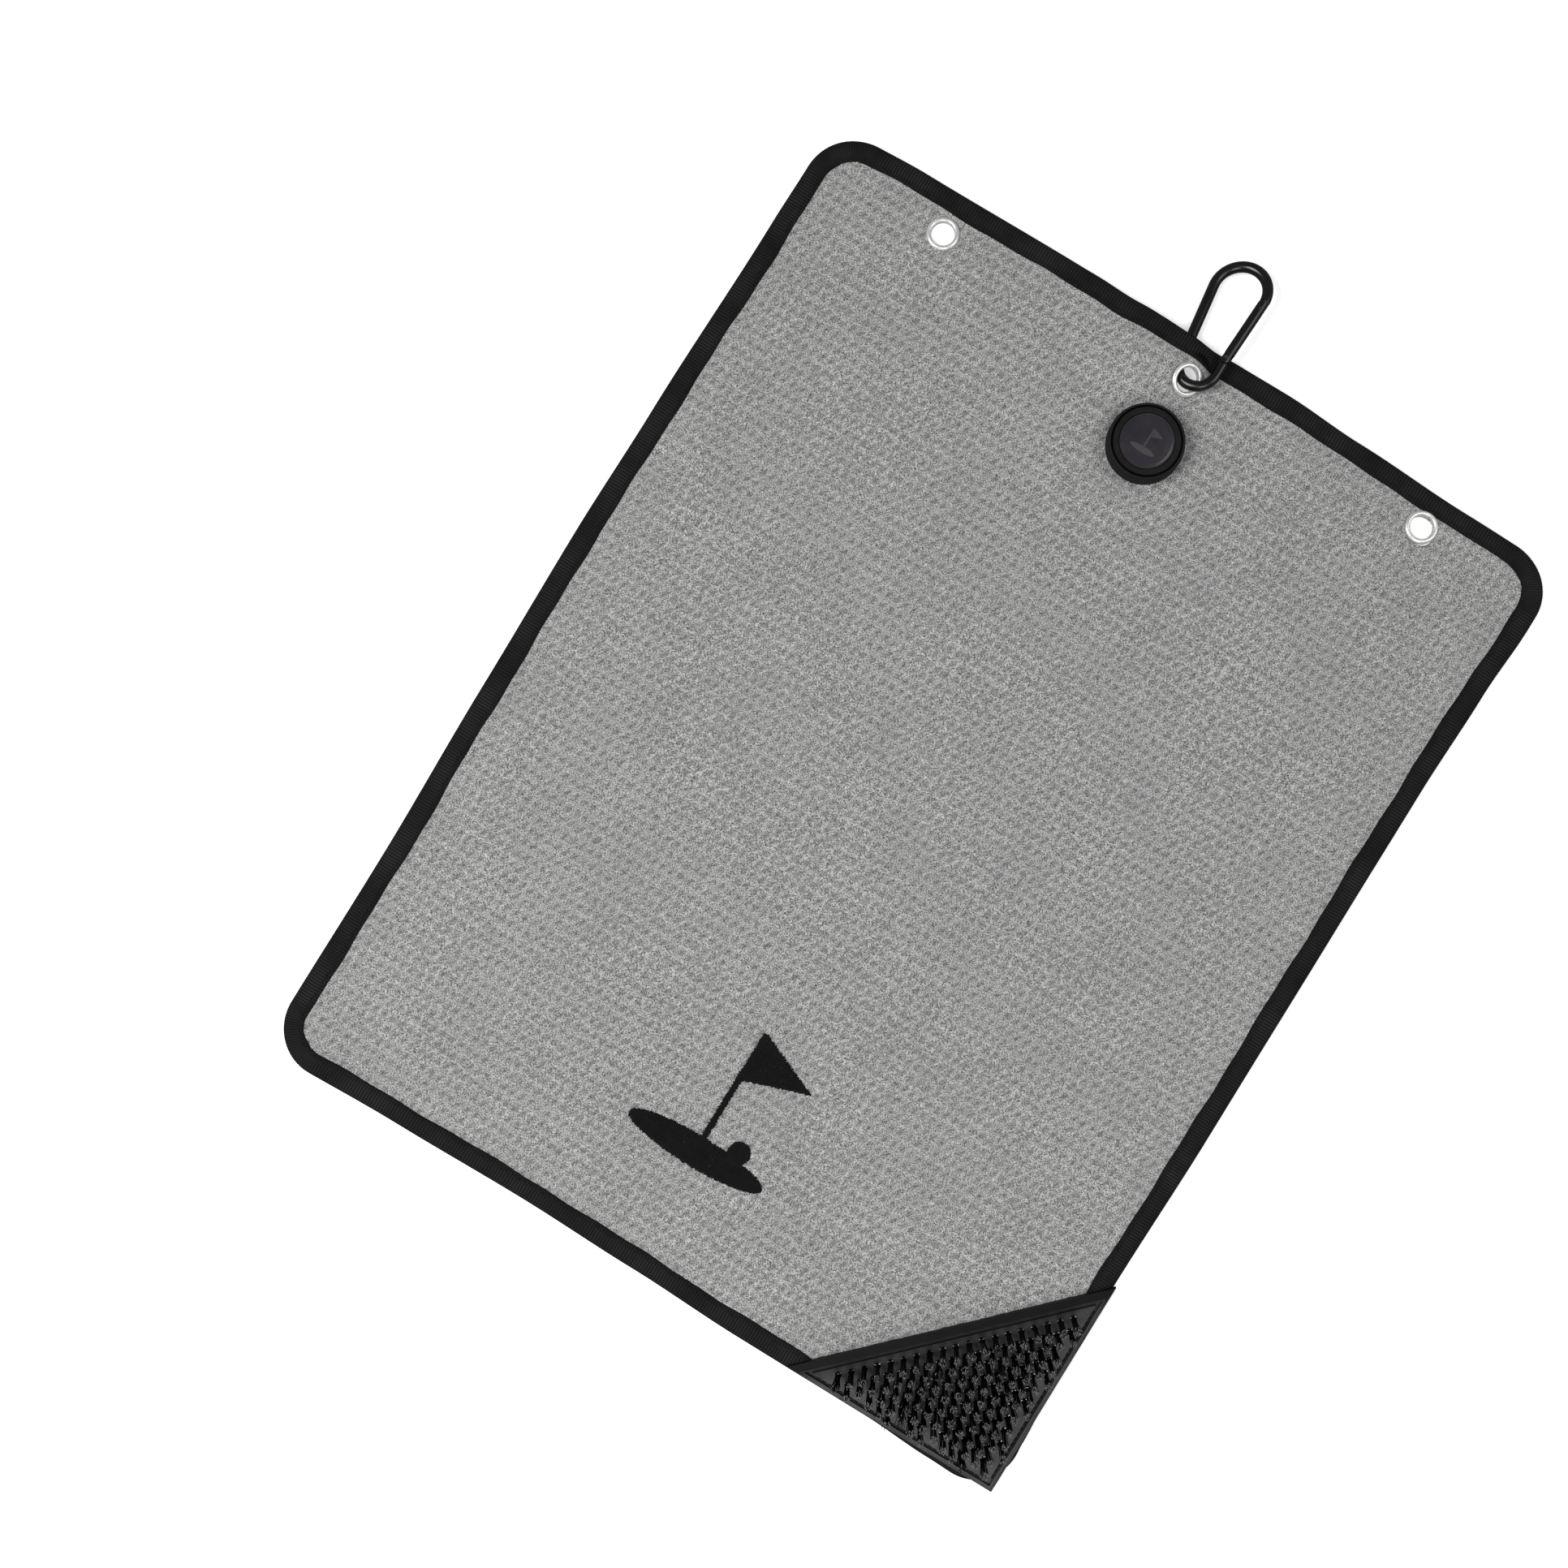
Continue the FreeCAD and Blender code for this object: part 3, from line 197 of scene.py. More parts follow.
def new_object(name, vertices, faces, smooth_shading=True):
    """A mesh from vertices in millimetres, linked into the scene."""
    mesh = bpy.data.meshes.new(name)
    mesh.from_pydata([tuple(float(c) * MM for c in v) for v in vertices], [],
                     [tuple(int(i) for i in f) for f in faces])
    mesh.validate()
    if smooth_shading:
        mesh.polygons.foreach_set("use_smooth", [True] * len(mesh.polygons))
    mesh.update()
    obj = bpy.data.objects.new(name, mesh)
    bpy.context.scene.collection.objects.link(obj)
    return obj


def finish_piece(obj, body, material, slot, *replaced):
    """Gives a piece its material and body, and hides the CAD nodes it takes the place of."""
    obj.data.materials.clear()
    obj.data.materials.append(material)
    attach(obj, body)
    if replaced:
        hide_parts(*replaced)
    return obj


# ---------------------------------------------------------------- materials

class Look:
    """A material whose nodes are made in code, with patterns in the object's own metres."""

    def __init__(self, name, **inputs):
        self.material = bpy.data.materials.new(name)
        self.material.use_nodes = True
        self.tree = self.material.node_tree
        self.shader = self.tree.nodes["Principled BSDF"]
        self.place = self.node("ShaderNodeTexCoord").outputs["Object"]
        for key, value in inputs.items():
            self.shader.inputs[key.replace("_", " ")].default_value = value

    def node(self, kind, **settings):
        made = self.tree.nodes.new(kind)
        for key, value in settings.items():
            setattr(made, key, value)
        return made

    def link(self, source, target):
        self.tree.links.new(source, target)

    def math(self, operation, a, b=None):
        """A Math node on numbers or sockets."""
        made = self.node("ShaderNodeMath", operation=operation)
        for socket, value in zip(made.inputs, (a, b)):
            if value is None:
                continue
            if isinstance(value, (int, float)):
                socket.default_value = value
            else:
                self.link(value, socket)
        return made.outputs[0]

    def noise(self, size, detail=2.0, roughness=0.5, stretch=(1, 1, 1), offset=(0, 0, 0)):
        """Noise whose features are about size millimetres across."""
        mapping = self.node("ShaderNodeMapping")
        mapping.inputs["Scale"].default_value = stretch
        mapping.inputs["Location"].default_value = offset
        self.link(self.place, mapping.inputs["Vector"])
        made = self.node("ShaderNodeTexNoise")
        made.inputs["Scale"].default_value = 1 / (size * MM)
        made.inputs["Detail"].default_value = detail
        made.inputs["Roughness"].default_value = roughness
        self.link(mapping.outputs["Vector"], made.inputs["Vector"])
        return made.outputs["Fac"]

    def spread(self, value, low, high, to_low=0.0, to_high=1.0):
        """Maps low..high onto to_low..to_high, and holds the ends beyond them."""
        made = self.node("ShaderNodeMapRange")
        for key, number in (("From Min", low), ("From Max", high), ("To Min", to_low),
                            ("To Max", to_high)):
            made.inputs[key].default_value = number
        self.link(value, made.inputs["Value"])
        return made.outputs["Result"]

    def blend_colour(self, factor, first, second):
        made = self.node("ShaderNodeMix", data_type="RGBA")
        self.link(factor, made.inputs[0])
        for socket, colour in ((made.inputs[6], first), (made.inputs[7], second)):
            if isinstance(colour, tuple):
                socket.default_value = (*colour, 1.0)
            else:
                self.link(colour, socket)
        return made.outputs[2]

    def bump(self, *layers):
        """Layers of (height, strength, depth in millimetres), the coarsest first."""
        normal = None
        for height, strength, depth in layers:
            made = self.node("ShaderNodeBump")
            made.inputs["Strength"].default_value = strength
            made.inputs["Distance"].default_value = depth * MM
            self.link(height, made.inputs["Height"])
            if normal is not None:
                self.link(normal, made.inputs["Normal"])
            normal = made.outputs["Normal"]
        self.link(normal, self.shader.inputs["Normal"])

    def colour(self, value):
        self.link(value, self.shader.inputs["Base Color"])

    def roughness(self, value):
        self.link(value, self.shader.inputs["Roughness"])


def grey(value, warmth=0.0):
    """A grey, turned a little from blue to red by warmth."""
    return (value * (1 + warmth), value, value * (1 - warmth))


def cell_coordinate(look, value, pitch):
    """Distance in millimetres from the nearest cell centre along one axis."""
    turns = look.math("ADD", look.math("MULTIPLY", value, 1 / (pitch * MM)), 0.5)
    return look.math("MULTIPLY", look.math("SUBTRACT", look.math("FRACT", turns), 0.5), pitch)


PIT_ACROSS = 1.25         # half sizes of a waffle cell's pit
PIT_ALONG = 1.9


def cloth_look():
    """Grey microfibre in waffle cells whose pits wander a little off their grid; the pits are
    darkened in the colour as painted shade.
    """
    look = Look("waffle_microfibre", Roughness=0.95, Sheen_Weight=0.08, Sheen_Roughness=0.6,
                Specular_IOR_Level=0.08)
    wander = look.node("ShaderNodeTexNoise")
    wander.inputs["Scale"].default_value = 1 / (7 * MM)
    wander.inputs["Detail"].default_value = 1.0
    look.link(look.place, wander.inputs["Vector"])
    split = look.node("ShaderNodeSeparateXYZ")
    look.link(look.place, split.inputs[0])
    stray = look.node("ShaderNodeSeparateColor")
    look.link(wander.outputs["Color"], stray.inputs[0])

    # a coordinate, moved by up to half of reach millimetres
    def strayed(axis, reach):
        off = look.math("SUBTRACT", stray.outputs[axis], 0.5)
        return look.math("ADD", split.outputs[axis], look.math("MULTIPLY", off, reach * MM))

    def squared(value, size):
        return look.math("POWER", look.math("ABSOLUTE", look.math("DIVIDE", value, size)), 2.0)

    u = cell_coordinate(look, strayed(0, 0.6), WEAVE_X)
    v = cell_coordinate(look, strayed(1, 0.9), WEAVE_Y)
    lean = look.math("SUBTRACT", u, look.math("MULTIPLY", v, WEAVE_SLANT))
    far = look.math("ADD", squared(lean, PIT_ACROSS), squared(v, PIT_ALONG))
    pit = look.math("EXPONENT", look.math("MULTIPLY", far, -1.0))
    fibre = look.noise(0.55, detail=1.5, roughness=0.7)
    fleck = look.noise(2.4, detail=1.0, offset=(0.3, 0.1, 0.2))
    drift = look.noise(38.0, detail=2.0)
    shade = look.blend_colour(look.spread(fibre, 0.36, 0.64), grey(0.05, 0.006), grey(0.66, 0.008))
    shade = look.blend_colour(look.spread(fleck, 0.42, 0.7, 0.0, 0.25), shade, grey(0.15))
    # painted shade: the pits are darkened in the colour as well as dented by the bump
    shade = look.blend_colour(look.math("MULTIPLY", pit, 0.52), shade, grey(0.07))
    shade = look.blend_colour(look.spread(drift, 0.35, 0.65, 0.0, 0.14), shade, grey(0.17))
    look.colour(shade)
    look.bump((pit, 0.5, -0.5), (fibre, 0.8, 0.35))
    return look.material


def fabric_look(name, dark, light, size=0.5, crest=None):
    """Black cloth or thread. A crest is a lighter tone painted on the tops of the mesh's ribs, read
    from a mesh attribute: a painted highlight.
    """
    look = Look(name, Roughness=0.8, Specular_IOR_Level=0.1)
    fine = look.noise(size, detail=3.0, roughness=0.6)
    broad = look.noise(9.0, detail=2.0)
    shade = look.blend_colour(look.spread(fine, 0.35, 0.7), grey(dark), grey(light))
    if crest:
        ribs = look.node("ShaderNodeAttribute", attribute_name="rib_crest_highlight")
        # painted highlight: the rib crests are lightened in the colour
        shade = look.blend_colour(ribs.outputs["Fac"], shade, grey(crest))
    shade = look.blend_colour(look.spread(broad, 0.4, 0.7, 0.0, 0.35), shade, grey(dark * 0.6))
    look.colour(shade)
    look.roughness(look.spread(fine, 0.3, 0.7, 0.72, 0.92))
    look.bump((fine, 0.6, 0.25))
    return look.material


def plastic_look(name, shade, rough, grain, scuff=0.0, tint=(1, 1, 1), gap_shade=None, **inputs):
    """Moulded or anodised black. A ring given as (centre, inner, outer) is painted blacker, as
    painted shadow in a gap.
    """
    def tone(share):
        return tuple(shade * share * part for part in tint)

    look = Look(name, **inputs)
    fine = look.noise(grain, detail=2.0)
    cloud = look.noise(14.0, detail=3.0, roughness=0.6)
    streak = look.noise(2.2, detail=4.0, roughness=0.7, stretch=(1, 1, 3))
    base = look.blend_colour(look.spread(cloud, 0.35, 0.7), tone(1.0), tone(1.45))
    base = look.blend_colour(look.spread(streak, 0.62, 0.85, 0.0, scuff), base, tone(3.2))
    if gap_shade:
        centre, inner, outer = gap_shade
        reach = look.node("ShaderNodeVectorMath", operation="DISTANCE")
        flat = look.node("ShaderNodeVectorMath", operation="MULTIPLY")
        look.link(look.place, flat.inputs[0])
        flat.inputs[1].default_value = (1, 1, 0)
        look.link(flat.outputs["Vector"], reach.inputs[0])
        reach.inputs[1].default_value = (centre[0] * MM, centre[1] * MM, 0)
        radius = reach.outputs["Value"]
        inside = look.math("MULTIPLY", look.spread(radius, inner * MM, (inner + 0.3) * MM),
                           look.spread(radius, (outer - 0.3) * MM, outer * MM, 1.0, 0.0))
        # painted shadow: the ring inside the collar is painted near-black
        base = look.blend_colour(inside, base, tone(0.05))
    look.colour(base)
    look.roughness(look.spread(cloud, 0.3, 0.7, rough - 0.06, rough + 0.08))
    look.bump((cloud, 0.12, 0.3), (fine, 0.22, 0.06))
    return look.material


def brush_look():
    """The brush's moulding: a lighter face by the legs, standing in for light it reflects, and
    painted blacker along the long bevel as painted shade.
    """
    look = Look("brush_moulding", Specular_IOR_Level=0.2)
    split = look.node("ShaderNodeSeparateXYZ")
    look.link(look.place, split.inputs[0])
    across = look.math("SUBTRACT", BRUSH_CORNER[0] * MM, split.outputs[0])
    up = look.math("SUBTRACT", split.outputs[1], BRUSH_CORNER[1] * MM)
    far = look.spread(look.math("ADD", across, up), (BRUSH_LEG - 16) * MM, (BRUSH_LEG - 4) * MM)
    cloud = look.noise(14.0, detail=3.0, roughness=0.6)
    streak = look.noise(2.2, detail=4.0, roughness=0.7, stretch=(1, 1, 3))
    fine = look.noise(0.3, detail=2.0)
    # painted light: the face is given a lighter grey than the other black plastics
    shade = look.blend_colour(look.spread(cloud, 0.35, 0.65), grey(0.034), grey(0.072))
    shade = look.blend_colour(look.spread(streak, 0.6, 0.85, 0.0, 0.3), shade, grey(0.1))
    # painted shade: the colour turns blacker towards the long bevel
    shade = look.blend_colour(far, shade, grey(0.007))
    look.colour(shade)
    look.roughness(look.spread(cloud, 0.3, 0.7, 0.4, 0.54))
    look.bump((cloud, 0.12, 0.3), (fine, 0.22, 0.06))
    return look.material


def metal_look(name, shade, rough, metallic=0.85):
    """Bright metal with fine scratches and cloudy plating."""
    look = Look(name, Metallic=metallic)
    scratch = look.noise(1.1, detail=4.0, roughness=0.7, stretch=(1, 1, 5))
    cloud = look.noise(5.0, detail=2.0)
    cloudy = look.spread(cloud, 0.35, 0.7)
    look.colour(look.blend_colour(cloudy, grey(shade, 0.01), grey(shade * 0.82, 0.02)))
    look.roughness(look.spread(scratch, 0.3, 0.75, rough, rough + 0.12))
    look.bump((scratch, 0.04, 0.02))
    return look.material


BRISTLE_TIPS = (22.7, 23.8)   # the heights between which the bristles are painted paler, a painted highlight on their tips


def tufts_look():
    """Bristles: black, painted paler towards their tips as a painted highlight."""
    look = Look("bristle_nylon", Roughness=0.42, Specular_IOR_Level=0.12)
    split = look.node("ShaderNodeSeparateXYZ")
    look.link(look.place, split.inputs[0])
    tip = look.spread(split.outputs[2], BRISTLE_TIPS[0] * MM, BRISTLE_TIPS[1] * MM)
    speck = look.noise(0.7, detail=2.0)
    tip = look.math("MULTIPLY", tip, look.spread(speck, 0.38, 0.55))
    # painted highlight: the tips are given a paler grey
    look.colour(look.blend_colour(tip, grey(0.002), grey(0.30)))
    look.roughness(look.spread(speck, 0.3, 0.7, 0.36, 0.55))
    return look.material


LOOKS = {
    "cloth": cloth_look(),
    # the binding's crest tone is a painted highlight on its ribs
    "binding_tape": fabric_look("binding_tape_weave", 0.002, 0.006, crest=0.026),
    "black_thread": fabric_look("black_sewing_thread", 0.007, 0.024, size=0.25),
    "embroidery_thread": fabric_look("black_satin_thread", 0.005, 0.012, size=0.3),
    "eyelet_metal": metal_look("nickel_plate", 0.93, 0.22, metallic=0.6),
    "clip_anodised": plastic_look("black_anodising", 0.0016, 0.21, grain=0.18,
                                  Specular_IOR_Level=0.55),
    "clip_pin": plastic_look("blackened_steel", 0.05, 0.3, grain=0.2, Metallic=0.6),
    "spring_steel": metal_look("spring_wire", 0.55, 0.25),
    "puck_rubber": plastic_look("moulded_rubber", 0.009, 0.62, grain=0.22, scuff=0.2,
                                gap_shade=PUCK_GAP_SHADE, Specular_IOR_Level=0.12),
    "puck_plastic": plastic_look("matte_black_plastic", 0.0085, 0.5, grain=0.2,
                                 gap_shade=PUCK_GAP_SHADE, Specular_IOR_Level=0.12),
    "screw_steel": metal_look("screw_zinc", 0.6, 0.3),
    "keeper_steel": metal_look("keeper_plate", 0.5, 0.35),
    "magnet_plating": metal_look("magnet_nickel", 0.75, 0.22),
    "marker_metal": plastic_look("marker_black_edge", 0.07, 0.25, grain=0.3, Metallic=0.7),
    "marker_gloss": plastic_look("marker_enamel", 0.018, 0.3, grain=0.6, tint=(1.03, 0.92, 1.15),
                                 Coat_Weight=0.4, Coat_Roughness=0.15, Specular_IOR_Level=0.3),
    "brush_plastic": brush_look(),
    "bristle": tufts_look(),
    "staple_metal": metal_look("staple_wire", 0.6, 0.3),
}

# the CAD nodes that stay take the look named by their own slot
for node in nodes.values():
    for holder in node.material_slots:
        slot_name = holder.material.name.split(".")[0]
        if slot_name in LOOKS:
            holder.material = LOOKS[slot_name]


# ---------------------------------------------------------------- the cloth

EDGE_TUCK = 3.0           # the cloth's edge lies this far inside the binding's outer edge
SAMPLES = 4               # grid points across one cell of the weave


def half_width_at(y, inset):
    """Half the width of the rounded rectangle at y, with its edge moved in by inset."""
    radius = CORNER_RADIUS - inset
    past = np.clip(np.abs(y) - (HALF_LENGTH - CORNER_RADIUS), 0, radius)
    return HALF_WIDTH - CORNER_RADIUS + np.sqrt(np.maximum(radius ** 2 - past ** 2, 0))


def pits(x, y):
    """Depth of the weave's pits at a point, from 0 between them to 1 at their centres."""
    u = (np.mod(x / WEAVE_X + 0.5, 1) - 0.5) * WEAVE_X
    v = (np.mod(y / WEAVE_Y + 0.5, 1) - 0.5) * WEAVE_Y
    return np.exp(-((u - v * WEAVE_SLANT) / PIT_ACROSS) ** 2 - (v / PIT_ALONG) ** 2)


def cloth_grid():
    """Grid points in step with the weave, clipped to the cloth's outline, and their quads."""
    step_x, step_y = WEAVE_X / SAMPLES, WEAVE_Y / SAMPLES
    far_x, far_y = HALF_WIDTH - EDGE_TUCK, HALF_LENGTH - EDGE_TUCK
    nx, ny = int(far_x / step_x) + 1, int(far_y / step_y) + 1
    xs = np.arange(-nx, nx + 1) * step_x
    ys = np.clip(np.arange(-ny, ny + 1) * step_y, -far_y, far_y)
    x, y = np.meshgrid(xs, ys)
    limit = half_width_at(y, EDGE_TUCK)
    x = np.clip(x, -limit, limit)
    index = np.arange(x.size).reshape(x.shape)
    quads = np.stack([index[:-1, :-1], index[:-1, 1:], index[1:, 1:], index[1:, :-1]], -1)
    return x.ravel(), y.ravel(), quads.reshape(-1, 4)


def merge_points(x, y, quads):
    """Joins grid points that were clipped onto the same place, and drops empty faces."""
    keys = np.round(np.stack([x, y], 1), 3)
    _, first, where = np.unique(keys, axis=0, return_index=True, return_inverse=True)
    where = where.ravel()
    faces = []
    for quad in where[quads]:
        corners = [c for i, c in enumerate(quad) if c != quad[i - 1]]
        if len(set(corners)) >= 3:
            faces.append(corners)
    return x[first], y[first], faces


def rim_edges(faces):
    """Edges that belong to one face only, in that face's direction."""
    seen = {}
    for face in faces:
        for a, b in zip(face, face[1:] + face[:1]):
            if (b, a) in seen:
                del seen[(b, a)]
            else:
                seen[(a, b)] = True
    return list(seen)


FLUFF_HEIGHT = 0.13
PAD_HEIGHT = 0.24         # how far the weave's pads stand above the sheet
PIT_DEPTH = 0.66          # and how far its pits go down from them
BRUSH_LIFT = 0.45         # under the brush's long edge
EYELET_DIP = 0.4
PUCK_DENT = 0.75
PUCK_SEAT = 1.3           # the cloth's underside above the back plate
HEM_LIFT = 0.6            # the cloth's underside inside the binding
WEAVE_INSET = 9.0         # from the ideal edge, where the weave's relief begins
WEAVE_RUN = 3.0           # over which it rises to its full depth
EYELET_CALM = 8.5         # radius without relief round an eyelet
PUCK_SEAT_RADIUS = 18.0   # of the back plate
UNDERSIDE_SHARE = 0.56    # faces kept of the whole cloth


def fluff(x, y):
    """Uneven height of the looped pile, different at every grid point."""
    seed = np.sin(x * 12.9898 + y * 78.233) * 43758.5453
    return FLUFF_HEIGHT * ((seed - np.floor(seed)) * 2 - 1)


def punch_holes(x, y, faces):
    """Drops the faces over the eyelets' holes and rounds the holes; x and y change in place."""
    centres = np.array([[x[f].mean(), y[f].mean()] for f in map(np.array, faces)])
    kept = np.ones(len(faces), bool)
    for cx, cy in EYELETS:
        kept &= np.hypot(centres[:, 0] - cx, centres[:, 1] - cy) > CLOTH_HOLE
    faces = [f for f, k in zip(faces, kept) if k]
    edges = rim_edges(faces)
    rim = np.unique(np.array(edges).ravel())
    for cx, cy in EYELETS:
        near = rim[np.hypot(x[rim] - cx, y[rim] - cy) < CLOTH_HOLE + 3]
        distance = np.hypot(x[near] - cx, y[near] - cy)
        x[near] = cx + (x[near] - cx) * CLOTH_HOLE / distance
        y[near] = cy + (y[near] - cy) * CLOTH_HOLE / distance
    return faces, edges


def cloth_heights(x, y, px, py):
    """Heights of the cloth's top and underside; x, y is the ideal place and px, py the real one."""
    # the weave flattens under the binding, the eyelets, the puck and the brush
    calm = smooth((HALF_WIDTH - WEAVE_INSET - np.abs(x)) / WEAVE_RUN)
    calm = calm * smooth((HALF_LENGTH - WEAVE_INSET - np.abs(y)) / WEAVE_RUN)
    for cx, cy in EYELETS:
        calm = calm * smooth((np.hypot(x - cx, y - cy) - EYELET_CALM) / WEAVE_RUN)
    from_puck = np.hypot(x - PUCK[0], y - PUCK[1])
    calm = calm * smooth((from_puck - PUCK_RADIUS) / WEAVE_RUN)
    # how far a point lies past the brush's long edge
    into_brush = BRUSH_LEG - (BRUSH_CORNER[0] - px) - (py - BRUSH_CORNER[1])
    into_brush = into_brush / math.sqrt(2)
    calm = calm * (1 - smooth((into_brush + 0.5) / 1.5))
    relief = calm * (PAD_HEIGHT - PIT_DEPTH * pits(x, y)) + fluff(x, y) * smooth(calm * 3)
    top = sheet_height(px, py, CLOTH_TOP) + relief + BRUSH_LIFT * smooth((into_brush + 4) / 5)
    for cx, cy in (EYELETS[0], EYELETS[2]):
        top = top - EYELET_DIP * (1 - smooth((np.hypot(x - cx, y - cy) - PRESSED_RADIUS) / 3))
    dent = 1 - smooth((from_puck - PUCK_RADIUS + 0.5) / 7)
    top = top - PUCK_DENT * dent * smooth((from_puck - 12) / 4)
    bottom = sheet_height(px, py, 0.0)
    inset = np.minimum(HALF_WIDTH - np.abs(x), HALF_LENGTH - np.abs(y))
    bottom = bottom + HEM_LIFT * (1 - smooth((inset - BINDING_WIDTH) / 1.5))
    bottom = np.maximum(np.where(from_puck < PUCK_SEAT_RADIUS, PUCK_SEAT, bottom), 0.0)
    return top, bottom


def thin_underside(piece, count):
    """The underside, vertices count and on, needs far fewer faces than the woven top."""
    group = piece.vertex_groups.new(name="underside")
    group.add(list(range(count, 2 * count)), 1.0, "REPLACE")
    thin = piece.modifiers.new("thin_underside", "DECIMATE")
    thin.ratio = UNDERSIDE_SHARE
    thin.vertex_group = group.name
    bpy.context.view_layer.update()
    shown = piece.evaluated_get(bpy.context.evaluated_depsgraph_get())
    lighter = bpy.data.meshes.new_from_object(shown)
    piece.modifiers.clear()
    piece.data = lighter
    piece.vertex_groups.clear()
    lighter.polygons.foreach_set("use_smooth", [True] * len(lighter.polygons))


def make_cloth():
    """The waffle sheet: a woven top, a smoother underside and the rims that join them."""
    x, y, quads = cloth_grid()
    x, y, faces = merge_points(x, y, quads)
    faces, edges = punch_holes(x, y, faces)
    used = np.unique(np.concatenate([np.array(f) for f in faces]))
    renumber = {int(old): new for new, old in enumerate(used)}
    x, y = x[used], y[used]
    faces = [[renumber[int(i)] for i in f] for f in faces]
    edges = [(renumber[int(a)], renumber[int(b)]) for a, b in edges]
    px, py = waver(x, y)
    top, bottom = cloth_heights(x, y, px, py)
    count = len(x)
    vertices = np.concatenate([np.stack([px, py, top], 1), np.stack([px, py, bottom], 1)])
    solid = list(faces) + [[i + count for i in reversed(f)] for f in faces]
    solid += [[b, a, a + count, b + count] for a, b in edges]
    piece = new_object("towel_cloth_waffle", vertices, solid)
    thin_underside(piece, count)
    return finish_piece(piece, "towel", LOOKS["cloth"], "cloth", "towel_cloth")


cloth = make_cloth()


# ---------------------------------------------------------------- binding and its stitching

RIB_PITCH = 1.45
RIB_HEIGHT = 0.18         # of the tape's woven ribs
PUFF_HEIGHT = 0.12        # of its slow swelling along the edge

# Round the folded tape: distance in from the edge, height, share of the ribs' relief.
BINDING_SECTION = (
    (10.3, 2.72, 0.0), (10.25, 3.12, 0.5), (9.7, 3.28, 0.6), (8.6, 3.3, 0.7), (7.2, 3.5, 1.0),
    (5.4, 3.62, 1.0), (3.6, 3.58, 1.0), (2.1, 3.36, 1.0), (0.95, 2.95, 0.9), (0.25, 2.35, 0.6),
    (0.0, 1.65, 0.4), (0.25, 0.9, 0.3), (0.95, 0.3, 0.2), (2.4, 0.02, 0.0), (10.2, 0.0, 0.0),
    (10.3, 0.5, 0.0), (1.7, 0.55, 0.0), (1.1, 1.0, 0.0), (1.1, 2.1, 0.0), (1.7, 2.7, 0.0))


def outline_stations(step):
    """Points of the towel's outer edge about step apart, and the inward direction at each."""
    points, inward = [], []
    cx, cy, radius = HALF_WIDTH - CORNER_RADIUS, HALF_LENGTH - CORNER_RADIUS, CORNER_RADIUS
    sides = (((cx, HALF_LENGTH), (-cx, HALF_LENGTH)), ((-HALF_WIDTH, cy), (-HALF_WIDTH, -cy)),
             ((-cx, -HALF_LENGTH), (cx, -HALF_LENGTH)), ((HALF_WIDTH, -cy), (HALF_WIDTH, cy)))
    for quarter, (sx, sy) in enumerate(((1, 1), (-1, 1), (-1, -1), (1, -1))):
        count = int(radius * math.pi / 2 / step)
        for i in range(count):
            angle = (quarter + i / count) * math.pi / 2
            direction = (math.cos(angle), math.sin(angle))
            points.append((sx * cx + radius * direction[0], sy * cy + radius * direction[1]))
            inward.append((-direction[0], -direction[1]))
        (x0, y0), (x1, y1) = sides[quarter]
        run = math.hypot(x1 - x0, y1 - y0)
        count = int(run / step)
        direction = ((y0 - y1) / run, (x1 - x0) / run)
        for i in range(count):
            share = i / count
            points.append((x0 + (x1 - x0) * share, y0 + (y1 - y0) * share))
            inward.append(direction)
    return np.array(points), np.array(inward)


def make_binding():
    """The ribbed tape folded round the cloth's edge."""
    points, inward = outline_stations(RIB_PITCH / 2)
    count = len(points) - len(points) % 2
    points, inward = points[:count], inward[:count]
    station = np.arange(count)
    rib = np.where(station % 2 == 0, 1.0, -1.0)
    worn = 0.75 + 0.25 * np.sin(station / 37.0) * np.sin(station / 11.3)
    puff = PUFF_HEIGHT * np.sin(station / 29.0 + 1.3 * np.sin(station / 83.0))
    edge_play = 0.28 * np.sin(station / 17.0) + 0.18 * np.sin(station / 6.1 + 0.7)
    vertices, crest_highlights = [], []
    for t, z, share in BINDING_SECTION:
        into = t + edge_play * smooth((t - 7.5) / 2)
        flat = points + inward * into[:, None]
        x, y = waver(flat[:, 0], flat[:, 1])
        lift = rib * RIB_HEIGHT * share * worn + puff * share
        # each rib's crest share sets the painted highlight that the tape's material reads
        crest_highlights.append(np.maximum(rib, 0) * share * worn)
        vertices.append(np.stack([x, y, sheet_height(x, y, 0.0) + z + lift], 1))
    vertices = np.array(vertices)
    rows = len(BINDING_SECTION)
    faces = []
    for j in range(rows):
        k = (j + 1) % rows
        for i in range(count):
            n = (i + 1) % count
            faces.append((j * count + i, j * count + n, k * count + n, k * count + i))
    tape = new_object("edge_binding_tape", vertices.reshape(-1, 3), faces)
    marks = tape.data.attributes.new("rib_crest_highlight", "FLOAT", "POINT")
    marks.data.foreach_set("value", np.concatenate(crest_highlights))
    return finish_piece(tape, "towel", LOOKS["binding_tape"], "binding_tape", "edge_binding")


